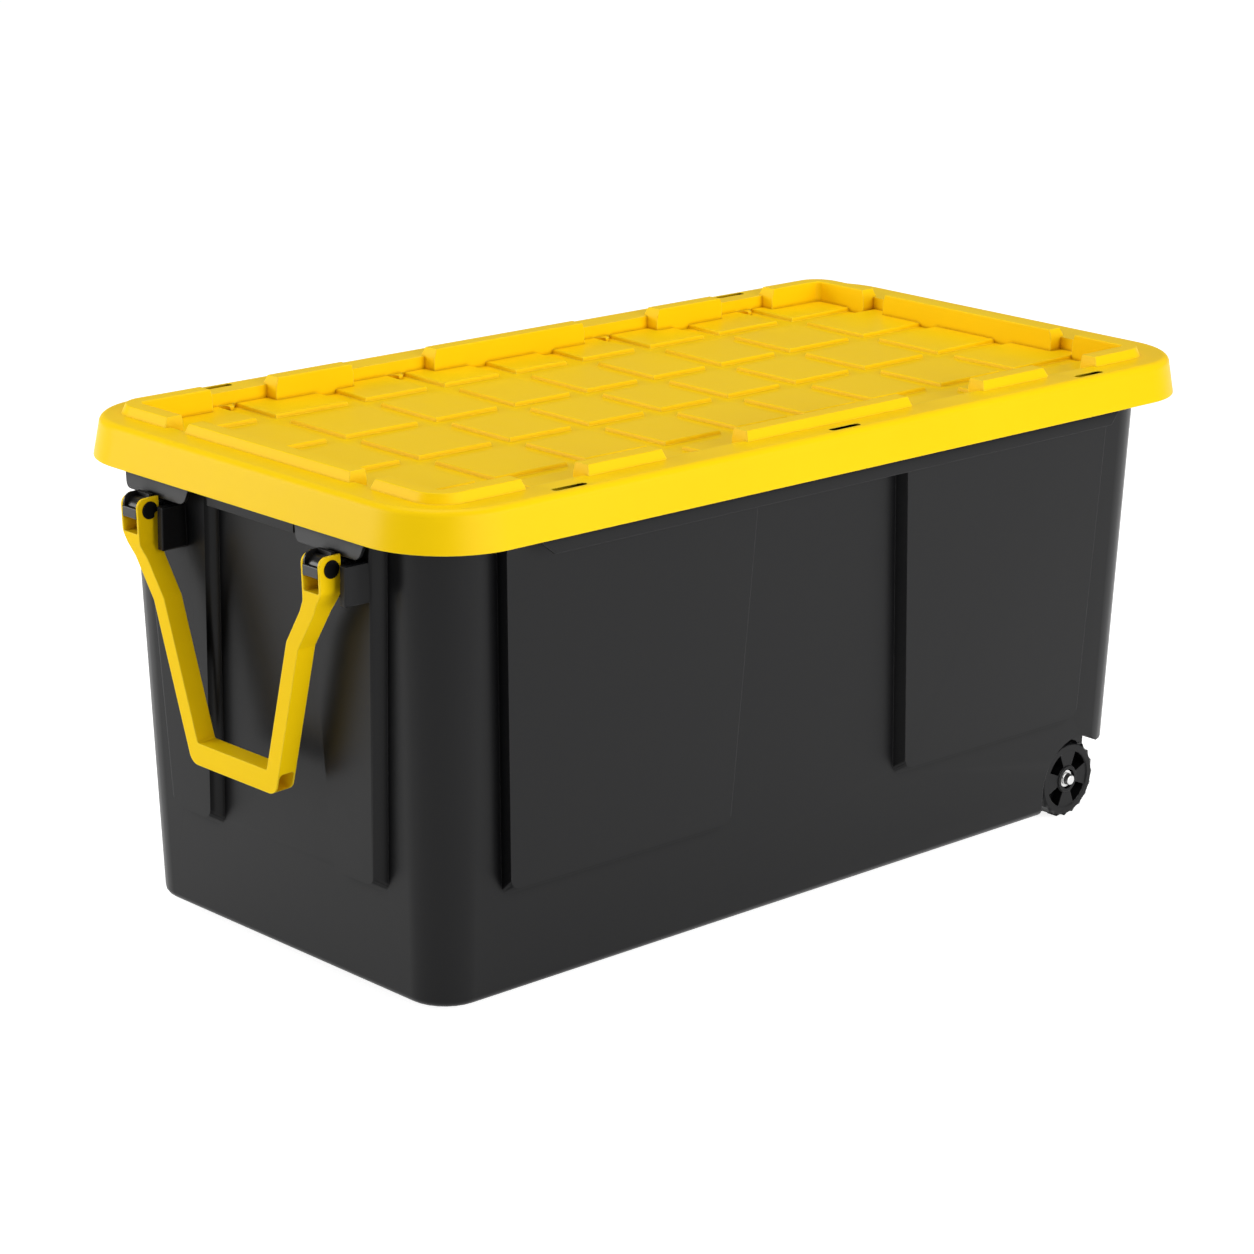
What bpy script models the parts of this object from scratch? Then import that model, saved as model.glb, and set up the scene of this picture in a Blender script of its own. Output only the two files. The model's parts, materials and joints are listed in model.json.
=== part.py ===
"""Wheeled storage tote with a lift-off lid and a swing handle.

Metres, +Z up. The origin is on the pad that the tote stands on, +X points to the wheels, -X to
the handle, and the long sides face -Y and +Y. The plan outlines of the tub, its rim and its lid
are offsets of the tub's walls at some height, so they follow one another. The lid is symmetric;
at the wheels the tub's wall is steeper than at the handle, and the lid's recess stops shorter.
"""

import math

import bmesh
import bpy
from mathutils import Matrix, Vector

# Tub walls
BODY_LENGTH = 0.909
BODY_WIDTH = 0.425
BODY_BOTTOM = 0.013
BODY_CORNER = 0.040
CORNER_GROWTH = 0.0259
DRAFT_X = 0.0474
DRAFT_Y = 0.0429
WHEEL_END_DRAFT = 0.029
BODY_EDGE = 0.007
TUB_WALL = 0.003
PAD_INSET = 0.048
PAD_CORNER = 0.020
PAD_WELL_MARGIN = 0.006
PAD_EDGE = 0.002
PAD_EDGE_STEPS = 2

# Rim of the tub, under the lid
RIM_TOP = 0.4742
RIM_WALL = 0.003
RIM_EDGE = 0.001
LIP_DEPTH = 0.0282
LIP_OVERLAP = 0.004
RIM_CLEARANCE = 0.0025

# Lower stretches of the rim's lip along the sides and above the handle's hinges
SIDE_LIP_DEPTH = 0.0487
SIDE_LIP_FROM_END = 0.0875
SIDE_LIP_SLANT = 0.011
FLAP_DEPTH = 0.0507
FLAP_SETBACK = 0.0034
FLAP_LENGTH = 0.0842
FLAP_FROM_SIDE = 0.0485
FLAP_CORNER = 0.008
LEDGE_DEPTH = 0.0492
LEDGE_FROM_FLAP = 0.0186
LEDGE_SETBACK = 0.0119

# Raised panels of the walls. The long sides' panels start and end at these shares of the
# body's length, at the foot and at the head
SIDE_PANELS = (((-0.4257, -0.1298), (-0.4400, -0.1133)), ((0.1309, 0.4092), (0.0979, 0.4202)))
SIDE_PANEL_BOTTOM = 0.118
SIDE_PANEL_PROUD = 0.0125
END_PANEL_FROM_SIDE = 0.0955
END_PANEL_FOOT = 0.055
END_PANEL_HEAD = 0.096
END_PANEL_BOTTOM = 0.119
END_PANEL_PROUD = 0.0135
PANEL_SLOPE = 0.004
PANEL_FOOT_SLOPE = 0.010
PANEL_CORNER = 0.010

# Lid
SKIRT_DEPTH = 0.0342
SKIRT_STANDOFF = 0.0348
SKIRT_FLARE = 0.0054
LID_WALL = 0.003
LID_GAP = 0.0003
DECK_EDGE = 0.0075
RECESS_INSET = 0.0051
RECESS_SHORTFALL = 0.0135
RECESS_WALL = 0.0025
TILE_DROP = 0.0125
GROOVE_DEPTH = 0.0022
GROOVE_FLOOR_WIDTH = 0.0026
GROOVE_BEVEL = 0.0020
GROOVE_FLARE = 0.009
GROOVE_FLARE_STEPS = 3
TRAY_THICKNESS = 0.003

# Places of the grooves, as shares of the body's length and of its width
COLUMN_GROOVES = (0.04906, 0.15116, 0.25900, 0.37800)
ROW_GROOVES = (0.12141, 0.36188)

# Stacking bars on the lid, and the gaps between them as shares of the length and of the width.
# The bars of the far side are a little shorter
BAR_HEIGHT = 0.0088
BAR_WIDTH = 0.0202
BAR_SLOPE = 0.0035
BAR_CORNER = 0.030
BAR_INNER_CORNER = 0.006
BAR_EDGE = 0.001
BAR_END_SLOPE = 0.003
NEAR_BAR_GAPS = ((0.11991, 0.22992), (0.33278, 0.41199))
FAR_BAR_GAPS = ((0.1099, 0.2219), (0.3253, 0.4078))
END_BAR_GAPS = ((0.27294, 0.33882),)

# Slots through the lid and the rim, at these shares of the length
SLOT_PLACES = (-0.37404, 0.0, 0.37800)
SLOT_INSET = 0.0217
SLOT_LENGTH = 0.036
SLOT_WIDTH = 0.0052
RIM_SLOT_MARGIN = 0.0004

# Wheels
WHEEL_RADIUS = 0.040
WHEEL_WIDTH = 0.030
WHEEL_INSET = 0.0075
AXLE_SETBACK = 0.0605
GROUND_CLEARANCE = 0.0004
LUGS = 20
LUG_DEPTH = 0.002
LUG_STAGGER = 0.001
TREAD_SHOULDER = 0.002
TREAD_THICKNESS = 0.0107
FACE_BEVEL = 0.0012
HUB_RADIUS = 0.0135
HUB_TAPER = 0.0004
HUB_RECESS_RADIUS = 0.0102
HUB_RECESS_DEPTH = 0.004
FACE_RECESS = 0.0012
WEB_DEPTH = 0.012
WEB_THICKNESS = 0.003
WINDOW_SPAN = 44.0
WINDOW_LEDGE = 0.0032
WINDOW_HUB_MARGIN = 0.001
WELL_CLEARANCE = 0.0085
WELL_SIDE_CLEARANCE = 0.004
WELL_END_RISE = 0.0376

# Axle and its fittings
AXLE_RADIUS = 0.004
AXLE_CHAMFER = 0.0006
AXLE_STICK_OUT = 0.0016
AXLE_WEB = 0.006
CHANNEL_RADIUS = 0.012
WASHER_RADIUS = 0.0088
WASHER_THICKNESS = 0.0015
NUT_RADIUS = 0.0055
NUT_LENGTH = 0.0070
NUT_CAP = 0.0015
NUT_FLANGE = 0.001
NUT_NECK = 0.0002
NUT_DOME = 0.0015

# Handle and its hinges
PIVOT_STANDOFF = 0.0035
PIVOT_DEPTH = 0.0608
FORK_FROM_SIDE = 0.0840
FORK_WIDTH = 0.025
FORK_GAP = 0.0154
FORK_FRONT = 0.0130
FORK_BACK = 0.0100
FORK_TOP = 0.0115
FORK_FLOOR = 0.0205
FORK_CORNER = 0.008
FORK_BACK_CORNER = 0.003
FORK_OUTER_NECK = 0.0205
FORK_INNER_NECK = 0.0300
FORK_TAPER = 0.012
FORK_GAP_FILLET = 0.002
ARM_FRONT = 0.0108
ARM_BACK = 0.0088
HANDLE_FILLET = 0.012
HANDLE_EDGE = 0.0018
HANDLE_TILT = 2.8
GRIP_WALL = 0.0022
GRIP_BORE_CORNER = 0.003
PIN_RADIUS = 0.004
PIN_HEAD_RADIUS = 0.0098
PIN_HEAD_THICKNESS = 0.0011
PIN_HEAD_CHAMFER = 0.0006
PIN_CHAMFER = 0.0005
PIN_STICK_OUT = 0.0008
KNUCKLE_RADIUS = 0.0100
BRACKET_PLATE = 0.003
BRACKET_TOE = 0.0132
BRACKET_TOE_TOP = 0.0025
BRACKET_TOE_BOTTOM = 0.0065
BRACKET_FOOT = 0.002
BRACKET_HEAD = 0.001
NECK_FILLET = 0.002
BLOCK_HALF = 0.0285
BLOCK_PROUD = 0.03737
BLOCK_DEPTH = 0.0557
BLOCK_HEIGHT = 0.0365
BLOCK_EDGE = 0.0012
POCKET_HALF = 0.0155
POCKET_DEPTH = 0.017

# Points of the handle's outline: how far inside a fork's middle, how far below the pivot
KNEE = (0.0258, 0.0785)
INNER_KNEE = (0.0410, 0.0740)
GRIP_CORNER = (0.0682, 0.2231)
GRIP_INNER = (0.0787, 0.2018)

# Fits
SEAT_GAP = 0.0003
BORE_GAP = 0.0003

# How far a cutter reaches past what it cuts, or a joined solid into its neighbour
SPARE = 0.001
MARGIN = 0.02
HAIR = 0.00001

# Facets
CORNER_STEPS = 7
FILLET_STEPS = 4
ROUND_STEPS = 24
WHEEL_STEPS_PER_LUG = 3
WELL_STEPS = 12
CHANNEL_STEPS = 8
WINDOW_STEPS = 4

# Values that follow
LIP_BOTTOM = RIM_TOP - LIP_DEPTH
SIDE_LIP_BOTTOM = RIM_TOP - SIDE_LIP_DEPTH
SIDE_LIP_HALF = BODY_LENGTH / 2 - SIDE_LIP_FROM_END
FLAP_BOTTOM = RIM_TOP - FLAP_DEPTH
FLAP_OUTER = BODY_WIDTH / 2 - FLAP_FROM_SIDE
FLAP_INNER = FLAP_OUTER - FLAP_LENGTH
LEDGE_BOTTOM = RIM_TOP - LEDGE_DEPTH
LEDGE_HALF = FLAP_INNER - LEDGE_FROM_FLAP
END_PANEL_CENTRE = BODY_WIDTH / 2 - END_PANEL_FROM_SIDE
SKIRT_BOTTOM = RIM_TOP - SKIRT_DEPTH
DECK_TOP = RIM_TOP + LID_GAP + LID_WALL
BAR_TOP = DECK_TOP + BAR_HEIGHT
TILE_TOP = DECK_TOP - TILE_DROP
GROOVE_FLOOR = TILE_TOP - GROOVE_DEPTH
TRAY_BOTTOM = GROOVE_FLOOR - TRAY_THICKNESS
FLARE_SLOPE = SKIRT_FLARE / (DECK_TOP - SKIRT_BOTTOM)
AXLE_X = BODY_LENGTH / 2 - AXLE_SETBACK
AXLE_Z = WHEEL_RADIUS + GROUND_CLEARANCE
RIM_INNER = WHEEL_RADIUS - TREAD_THICKNESS
WHEEL_FACE = BODY_WIDTH / 2 - WHEEL_INSET
WELL_RADIUS = WHEEL_RADIUS + WELL_CLEARANCE
WELL_END_TOP = AXLE_Z + WELL_END_RISE
WELL_INNER = WHEEL_FACE - WHEEL_WIDTH - WELL_SIDE_CLEARANCE
BLOCK_TOP = RIM_TOP - BLOCK_DEPTH
BLOCK_BOTTOM = BLOCK_TOP - BLOCK_HEIGHT
BLOCK_FRONT = -(BODY_LENGTH / 2 + DRAFT_X * (BLOCK_TOP - BODY_BOTTOM) + BLOCK_PROUD)
PIVOT_X = BLOCK_FRONT - PIVOT_STANDOFF
PIVOT_Z = RIM_TOP - PIVOT_DEPTH
FORK_CENTRE = BODY_WIDTH / 2 - FORK_FROM_SIDE

YELLOW = (0.955, 0.655, 0.012, 1.0)
BLACK = (0.020, 0.020, 0.022, 1.0)
GLOSS_BLACK = (0.012, 0.012, 0.013, 1.0)
STEEL = (0.72, 0.72, 0.72, 1.0)


def clear_scene():
    for obj in list(bpy.data.objects):
        bpy.data.objects.remove(obj, do_unlink=True)


def object_of(name, bm):
    bmesh.ops.recalc_face_normals(bm, faces=bm.faces)
    mesh = bpy.data.meshes.new(name)
    bm.to_mesh(mesh)
    bm.free()
    obj = bpy.data.objects.new(name, mesh)
    bpy.context.scene.collection.objects.link(obj)
    return obj


def loft(name, rings):
    """Closed solid through rings of equal point counts, with a flat cap at each end."""
    bm = bmesh.new()
    loops = [[bm.verts.new(point) for point in ring] for ring in rings]
    for low, high in zip(loops, loops[1:]):
        for i in range(len(low)):
            j = (i + 1) % len(low)
            bm.faces.new((low[i], low[j], high[j], high[i]))
    bm.faces.new(loops[0][::-1])
    bm.faces.new(loops[-1])
    return object_of(name, bm)


def along(axis, across, up, distance):
    """Point of an outline that is pushed along an axis: (y, z) on X, (x, z) on Y, (x, y) on Z."""
    if axis == "X":
        return (distance, across, up)
    if axis == "Y":
        return (across, distance, up)
    return (across, up, distance)


def prism(name, outline, axis, low, high):
    return loft(name, [[along(axis, a, b, d) for a, b in outline] for d in (low, high)])


def rod(name, axis, centre, profile, steps=ROUND_STEPS):
    """Turned solid on an axis through centre, from (distance, radius) pairs."""
    rings = []
    for distance, radius in profile:
        angles = [math.tau * i / steps for i in range(steps)]
        points = [(radius * math.cos(a), radius * math.sin(a)) for a in angles]
        rings.append([along(axis, centre[0] + a, centre[1] + b, distance) for a, b in points])
    return loft(name, rings)


def arc(centre, radius, start, end, steps):
    """Points from one angle to another, in degrees."""
    points = []
    for i in range(steps + 1):
        angle = math.radians(start + (end - start) * i / steps)
        points.append((centre[0] + radius * math.cos(angle), centre[1] + radius * math.sin(angle)))
    return points


def filleted(corners, radii, steps=FILLET_STEPS):
    """Outline with each corner rounded to its radius; a radius of zero keeps the corner."""
    outline = []
    for i, corner in enumerate(corners):
        here = Vector(corner)
        before = (Vector(corners[i - 1]) - here).normalized()
        after = (Vector(corners[(i + 1) % len(corners)]) - here).normalized()
        if radii[i] == 0:
            outline.append(tuple(here))
            continue
        half = before.angle(after) / 2
        centre = here + (before + after).normalized() * (radii[i] / math.sin(half))
        first = here + before * (radii[i] / math.tan(half)) - centre
        last = here + after * (radii[i] / math.tan(half)) - centre
        turn = first.angle_signed(last)
        for step in range(steps + 1):
            spoke = first.copy()
            spoke.rotate(Matrix.Rotation(-turn * step / steps, 2))
            outline.append(tuple(centre + spoke))
    return outline


def rounded_rectangle(half_x, half_y, radius, steps=CORNER_STEPS):
    corners = ((half_x, half_y), (-half_x, half_y), (-half_x, -half_y), (half_x, -half_y))
    outline = []
    for (x, y), start in zip(corners, (0, 90, 180, 270)):
        centre = (x - math.copysign(radius, x), y - math.copysign(radius, y))
        outline += arc(centre, radius, start, start + 90, steps)
    return outline


def evaluate(obj):
    """Puts the result of an object's modifiers into its mesh."""
    graph = bpy.context.evaluated_depsgraph_get()
    mesh = bpy.data.meshes.new_from_object(obj.evaluated_get(graph))
    old = obj.data
    obj.modifiers.clear()
    obj.data = mesh
    bpy.data.meshes.remove(old)


def combine(target, others, operation):
    for other in others:
        modifier = target.modifiers.new(operation.title(), "BOOLEAN")
        modifier.operation = operation
        modifier.object = other
        evaluate(target)
        bpy.data.objects.remove(other, do_unlink=True)
    return target


def unite(target, *others):
    return combine(target, others, "UNION")


def cut(target, *cutters):
    return combine(target, cutters, "DIFFERENCE")


def soften(obj, width, segments=2, angle=40.0):
    """Rounds the edges that are sharper than the angle."""
    modifier = obj.modifiers.new("Soften", "BEVEL")
    modifier.width = width
    modifier.segments = segments
    modifier.limit_method = "ANGLE"
    modifier.angle_limit = math.radians(angle)
    evaluate(obj)
    return obj


def set_origin(obj, point):
    """Moves an object's origin without moving its shape."""
    obj.data.transform(Matrix.Translation(-Vector(point)))
    obj.location = point


def finish(obj, name, colour, roughness, metallic=0.0):
    obj.name = name
    obj.data.name = name
    material = bpy.data.materials.new(name)
    material.use_nodes = True
    shader = material.node_tree.nodes["Principled BSDF"]
    shader.inputs["Base Color"].default_value = colour
    shader.inputs["Roughness"].default_value = roughness
    shader.inputs["Metallic"].default_value = metallic
    material.diffuse_color = colour
    obj.data.materials.clear()
    obj.data.materials.append(material)
    obj.data.shade_smooth()
    obj.data.set_sharp_from_angle(angle=math.radians(30))
    return obj


def wall_x(z):
    return BODY_LENGTH / 2 + DRAFT_X * (z - BODY_BOTTOM)


def wheel_end_x(z):
    return BODY_LENGTH / 2 + WHEEL_END_DRAFT * (z - BODY_BOTTOM)


def wall_y(z):
    return BODY_WIDTH / 2 + DRAFT_Y * (z - BODY_BOTTOM)


def wall_corner(z):
    return BODY_CORNER + CORNER_GROWTH * (z - BODY_BOTTOM)


def plan(low_x, high_x, half_y, radius, at):
    """Outline with round corners from one x to another, drawn at a height."""
    outline = rounded_rectangle((high_x - low_x) / 2, half_y, radius)
    return [(x + (low_x + high_x) / 2, y, at) for x, y in outline]


def wall_ring(offset, z):
    """The tub's wall outline at a height, moved out by an offset."""
    low, high = -wall_x(z) - offset, wheel_end_x(z) + offset
    return plan(low, high, wall_y(z) + offset, wall_corner(z) + offset, z)


def lid_plan(offset, at, corner=None, shortfall=0.0):
    """Outline of the lid as an offset of the tub's handle end and sides at the skirt's foot."""
    radius = wall_corner(SKIRT_BOTTOM) + offset if corner is None else corner
    half_x = wall_x(SKIRT_BOTTOM) + offset
    return plan(-half_x, half_x - shortfall, wall_y(SKIRT_BOTTOM) + offset, radius, at)


def recess_plan(offset, at, corner=None):
    return lid_plan(offset, at, corner, RECESS_SHORTFALL)


def skirt_offset(z):
    return SKIRT_STANDOFF - FLARE_SLOPE * max(0.0, z - SKIRT_BOTTOM)


def lip_offset(z):
    return skirt_offset(z) - LID_WALL - RIM_CLEARANCE


def edge_rings(draw, offset, z, radius, upper, steps=FILLET_STEPS):
    """Rings of a rounded bottom edge, or of a rounded top edge."""
    rings = []
    for i in range(steps + 1):
        angle = math.radians(90 * i / steps)
        inset = radius * (1 - math.sin(angle))
        rise = radius * (1 - math.cos(angle))
        rings.append(draw(offset - inset, z - rise if upper else z + rise))
    return rings[::-1] if upper else rings


def pad_ring(offset, z):
    """Outline of the base pad, which ends short of the wheel wells."""
    low = -wall_x(BODY_BOTTOM) + PAD_INSET - offset
    high = AXLE_X - WELL_RADIUS - PAD_WELL_MARGIN + offset
    half_y = wall_y(BODY_BOTTOM) - PAD_INSET + offset
    outline = rounded_rectangle((high - low) / 2, half_y, PAD_CORNER + offset)
    return [(x + (low + high) / 2, y, z) for x, y in outline]


def slot_outline(centre_x, centre_y, length, width):
    radius = width / 2
    reach = length / 2 - radius
    right = arc((centre_x + reach, centre_y), radius, -90, 90, FILLET_STEPS)
    left = arc((centre_x - reach, centre_y), radius, 90, 270, FILLET_STEPS)
    return right + left


def slot_cutters(margin, low, high):
    centre = wall_y(SKIRT_BOTTOM) + SKIRT_STANDOFF - SLOT_INSET
    cutters = []
    length = SLOT_LENGTH + 2 * margin
    width = SLOT_WIDTH + 2 * margin
    for place in SLOT_PLACES:
        for side in (-1, 1):
            outline = slot_outline(place * BODY_LENGTH, side * centre, length, width)
            cutters.append(prism("slot", outline, "Z", low - 2 * SPARE, high + 2 * SPARE))
    return cutters


def panel(side, on_end, foot, head, bottom, proud, inset):
    """Raised panel of a wall, or with an inset the hollow behind it, from the lip down."""
    top = RIM_TOP + MARGIN - SPARE if inset else RIM_TOP - RIM_WALL / 2 - SPARE / 2
    rings = []
    for depth, grow in ((-2 * SPARE - inset, 1.0), (proud - inset, 0.0)):
        slope = PANEL_SLOPE * grow - inset
        low = bottom - PANEL_FOOT_SLOPE * grow + inset
        corners = (
            (foot[0] - slope, low),
            (foot[1] + slope, low),
            (head[1] + slope, top),
            (head[0] - slope, top),
        )
        outline = filleted(corners, (PANEL_CORNER, PANEL_CORNER, 0, 0))
        ring = []
        for along_wall, z in outline:
            if on_end:
                ring.append((side * (wall_x(z) + depth), along_wall, z))
            else:
                ring.append((along_wall, side * (wall_y(z) + depth), z))
        rings.append(ring)
    return loft("panel", rings)


def panels(inset=0.0):
    """All raised panels of the tub: two on each long side and two at the handle end."""
    found = []
    for side in (-1, 1):
        for shares in SIDE_PANELS:
            foot, head = ([BODY_LENGTH * share for share in pair] for pair in shares)
            sizes = (SIDE_PANEL_BOTTOM, SIDE_PANEL_PROUD, inset)
            found.append(panel(side, False, foot, head, *sizes))
        centre = side * END_PANEL_CENTRE
        foot = (centre - END_PANEL_FOOT / 2, centre + END_PANEL_FOOT / 2)
        head = (centre - END_PANEL_HEAD / 2, centre + END_PANEL_HEAD / 2)
        found.append(panel(-1, True, foot, head, END_PANEL_BOTTOM, END_PANEL_PROUD, inset))
    return found


def rim():
    """Flange round the top of the tub, with a lip turned down from its edge, deeper at the sides."""
    levels = (SIDE_LIP_BOTTOM, SKIRT_BOTTOM, RIM_TOP - RIM_EDGE)
    outer = [lid_plan(lip_offset(z), z) for z in levels]
    outer.append(lid_plan(lip_offset(RIM_TOP) - RIM_EDGE, RIM_TOP))
    levels = (SIDE_LIP_BOTTOM - SPARE, SKIRT_BOTTOM, RIM_TOP - RIM_WALL)
    inner = [lid_plan(lip_offset(z) - RIM_WALL, z) for z in levels]
    flange = cut(loft("rim", outer), loft("under_rim", inner))
    slope = SIDE_LIP_SLANT / (SKIRT_BOTTOM - SIDE_LIP_BOTTOM)
    low = SIDE_LIP_BOTTOM - 2 * SPARE
    near, far = (SIDE_LIP_HALF + slope * (z - SIDE_LIP_BOTTOM) for z in (low, LIP_BOTTOM))
    corners = [(near, low), (BODY_LENGTH, low), (BODY_LENGTH, LIP_BOTTOM), (far, LIP_BOTTOM)]
    for side in (-1, 1):
        outline = [(side * x, z) for x, z in corners]
        cut(flange, prism("window", outline, "Y", -BODY_WIDTH, BODY_WIDTH))
    return flange


def end_lips():
    """The two flaps above the hinges and the ledge between them."""
    face = -(wall_x(SKIRT_BOTTOM) + lip_offset(SKIRT_BOTTOM))
    top = LIP_BOTTOM + LIP_OVERLAP - SPARE / 2
    pieces = []
    for side in (-1, 1):
        corners = [
            (side * FLAP_INNER, FLAP_BOTTOM),
            (side * FLAP_OUTER, FLAP_BOTTOM),
            (side * (FLAP_OUTER + FLAP_CORNER), top),
            (side * (FLAP_INNER - FLAP_CORNER), top),
        ]
        outline = filleted(corners, (FLAP_CORNER, FLAP_CORNER, 0, 0))
        front = face + FLAP_SETBACK
        pieces.append(prism("flap", outline, "X", front, front + RIM_WALL))
    low, high = LEDGE_BOTTOM, RIM_TOP - 2 * SPARE
    outline = [(-LEDGE_HALF, low), (LEDGE_HALF, low), (LEDGE_HALF, high), (-LEDGE_HALF, high)]
    front = face + LEDGE_SETBACK
    ledge = prism("ledge", outline, "X", front, front + RIM_WALL)
    levels = (LEDGE_BOTTOM - SPARE, SKIRT_BOTTOM, RIM_TOP)
    keep = loft("keep", [lid_plan(lip_offset(z) - SPARE, z) for z in levels])
    return pieces + [combine(ledge, [keep], "INTERSECT")]


def hinge_blocks():
    """Blocks on the end panels that hold the hinges, each with a pocket open to the front."""
    pieces = []
    for side in (-1, 1):
        centre = side * FORK_CENTRE
        back = -wall_x(BLOCK_BOTTOM) + SPARE
        corners = [(centre - BLOCK_HALF, BLOCK_BOTTOM), (centre + BLOCK_HALF, BLOCK_BOTTOM)]
        corners += [(centre + BLOCK_HALF, BLOCK_TOP), (centre - BLOCK_HALF, BLOCK_TOP)]
        block = prism("block", corners, "X", BLOCK_FRONT, back)
        pieces.append(soften(block, BLOCK_EDGE, 1))
    return pieces


def hinge_pockets():
    pockets = []
    low, high = BLOCK_BOTTOM - MARGIN, BLOCK_TOP + SPARE
    for side in (-1, 1):
        left = side * FORK_CENTRE - POCKET_HALF
        right = side * FORK_CENTRE + POCKET_HALF
        outline = [(left, low), (right, low), (right, high), (left, high)]
        back = BLOCK_FRONT + POCKET_DEPTH
        pockets.append(prism("pocket", outline, "X", BLOCK_FRONT - MARGIN, back))
    return pockets


def wheel_well(side, grow):
    """Room for a wheel, open to the side, below and at the end; grown, its wall inside the tub."""
    radius = WELL_RADIUS + grow
    end_top = WELL_END_TOP + grow
    floor = -MARGIN
    turn = math.degrees(math.asin((end_top - AXLE_Z) / radius))
    outline = [(AXLE_X - radius, floor)] + arc((AXLE_X, AXLE_Z), radius, 180, turn, WELL_STEPS)
    outline += [(BODY_LENGTH, end_top), (BODY_LENGTH, floor)]
    low, high = sorted((side * (WELL_INNER - grow), side * BODY_WIDTH))
    return prism("well", outline, "Y", low, high)


def axle_channel(grow):
    """Tunnel for the axle, open underneath, between the two wells."""
    radius = CHANNEL_RADIUS + grow
    reach = WELL_INNER - AXLE_WEB + grow
    outline = [(AXLE_X + radius, -MARGIN)]
    outline += arc((AXLE_X, AXLE_Z), radius, 0, 180, CHANNEL_STEPS)
    outline.append((AXLE_X - radius, -MARGIN))
    return prism("channel", outline, "Y", -reach, reach)


def cavity():
    """Everything inside the tub's walls."""
    floor = BODY_BOTTOM + TUB_WALL
    inner_edge = BODY_EDGE - TUB_WALL
    rings = edge_rings(wall_ring, -TUB_WALL, floor, inner_edge, False)
    rings.append(wall_ring(-TUB_WALL, RIM_TOP + MARGIN))
    inside = loft("inside", rings)
    pad = [pad_ring(-TUB_WALL, z) for z in (TUB_WALL, floor + SPARE)]
    unite(inside, loft("pad_inside", pad), *panels(TUB_WALL))
    wells = [wheel_well(side, TUB_WALL) for side in (-1, 1)]
    return cut(inside, *wells, axle_channel(TUB_WALL))


def build_tub():
    rings = edge_rings(wall_ring, 0.0, BODY_BOTTOM, BODY_EDGE, False)
    rings.append(wall_ring(0.0, RIM_TOP - RIM_WALL / 2))
    tub = loft("tub", rings)
    pad = edge_rings(pad_ring, 0.0, 0.0, PAD_EDGE, False, PAD_EDGE_STEPS)
    pad.append(pad_ring(0.0, BODY_BOTTOM + TUB_WALL / 2))
    unite(tub, loft("pad", pad), *panels(), *hinge_blocks())
    unite(tub, rim(), *end_lips())
    cut(tub, cavity(), *hinge_pockets())
    cut(tub, *[wheel_well(side, 0.0) for side in (-1, 1)], axle_channel(0.0))
    bore = AXLE_RADIUS + BORE_GAP
    hole = rod("hole", "Y", (AXLE_X, AXLE_Z), [(-WHEEL_FACE, bore), (WHEEL_FACE, bore)])
    cut(tub, hole, *slot_cutters(RIM_SLOT_MARGIN, RIM_TOP - RIM_WALL, RIM_TOP))
    return finish(tub, "tub", BLACK, 0.5)


def groove(position, low, high, runs_in_x):
    """Groove between tiles with bevelled sides, widening in an arc where it meets the recess wall."""
    half_length = (high - low) / 2
    middle = (high + low) / 2
    narrow = GROOVE_FLOOR_WIDTH / 2
    wide = narrow + GROOVE_BEVEL
    rings = []
    for half_width, z in (
        (narrow, GROOVE_FLOOR),
        (wide, TILE_TOP + HAIR),
        (wide, TILE_TOP + MARGIN),
    ):
        flare = (half_length - GROOVE_FLARE, half_width + GROOVE_FLARE)
        quarter = arc(flare, GROOVE_FLARE, -90, 0, GROOVE_FLARE_STEPS)
        outline = quarter + [(-a, b) for a, b in quarter[::-1]]
        outline += [(-a, -b) for a, b in quarter] + [(a, -b) for a, b in quarter[::-1]]
        if runs_in_x:
            rings.append([(middle + a, position + b, z) for a, b in outline])
        else:
            rings.append([(position + b, middle + a, z) for a, b in outline])
    return loft("groove", rings)


def tray():
    """Tiled floor of the lid's recess."""
    edge = -RECESS_INSET + RECESS_WALL / 2
    plate = loft("tray", [recess_plan(edge, TRAY_BOTTOM), recess_plan(edge, TILE_TOP)])
    reach_x = wall_x(SKIRT_BOTTOM) - RECESS_INSET
    ends = (-reach_x, reach_x - RECESS_SHORTFALL)
    reach_y = wall_y(SKIRT_BOTTOM) - RECESS_INSET
    for side in (-1, 1):
        for share in COLUMN_GROOVES:
            cut(plate, groove(side * share * BODY_LENGTH, -reach_y, reach_y, False))
        for share in ROW_GROOVES:
            cut(plate, groove(side * share * BODY_WIDTH, *ends, True))
    return plate


def bar_gap(low, high, along_x, side):
    """Wedge that parts two stacking bars, wider at its top."""
    base, top = DECK_TOP, BAR_TOP + SPARE
    slope = BAR_END_SLOPE
    outline = [(low, TRAY_BOTTOM), (low, base), (low - slope, top), (high + slope, top)]
    outline += [(high, base), (high, TRAY_BOTTOM)]
    reach = (wall_y if along_x else wall_x)(SKIRT_BOTTOM)
    if not along_x and side > 0:
        reach -= RECESS_SHORTFALL
    near, far = sorted((side * (reach - 2 * BAR_WIDTH), side * (reach + BAR_WIDTH)))
    return prism("gap", outline, "Y" if along_x else "X", near, far)


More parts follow.
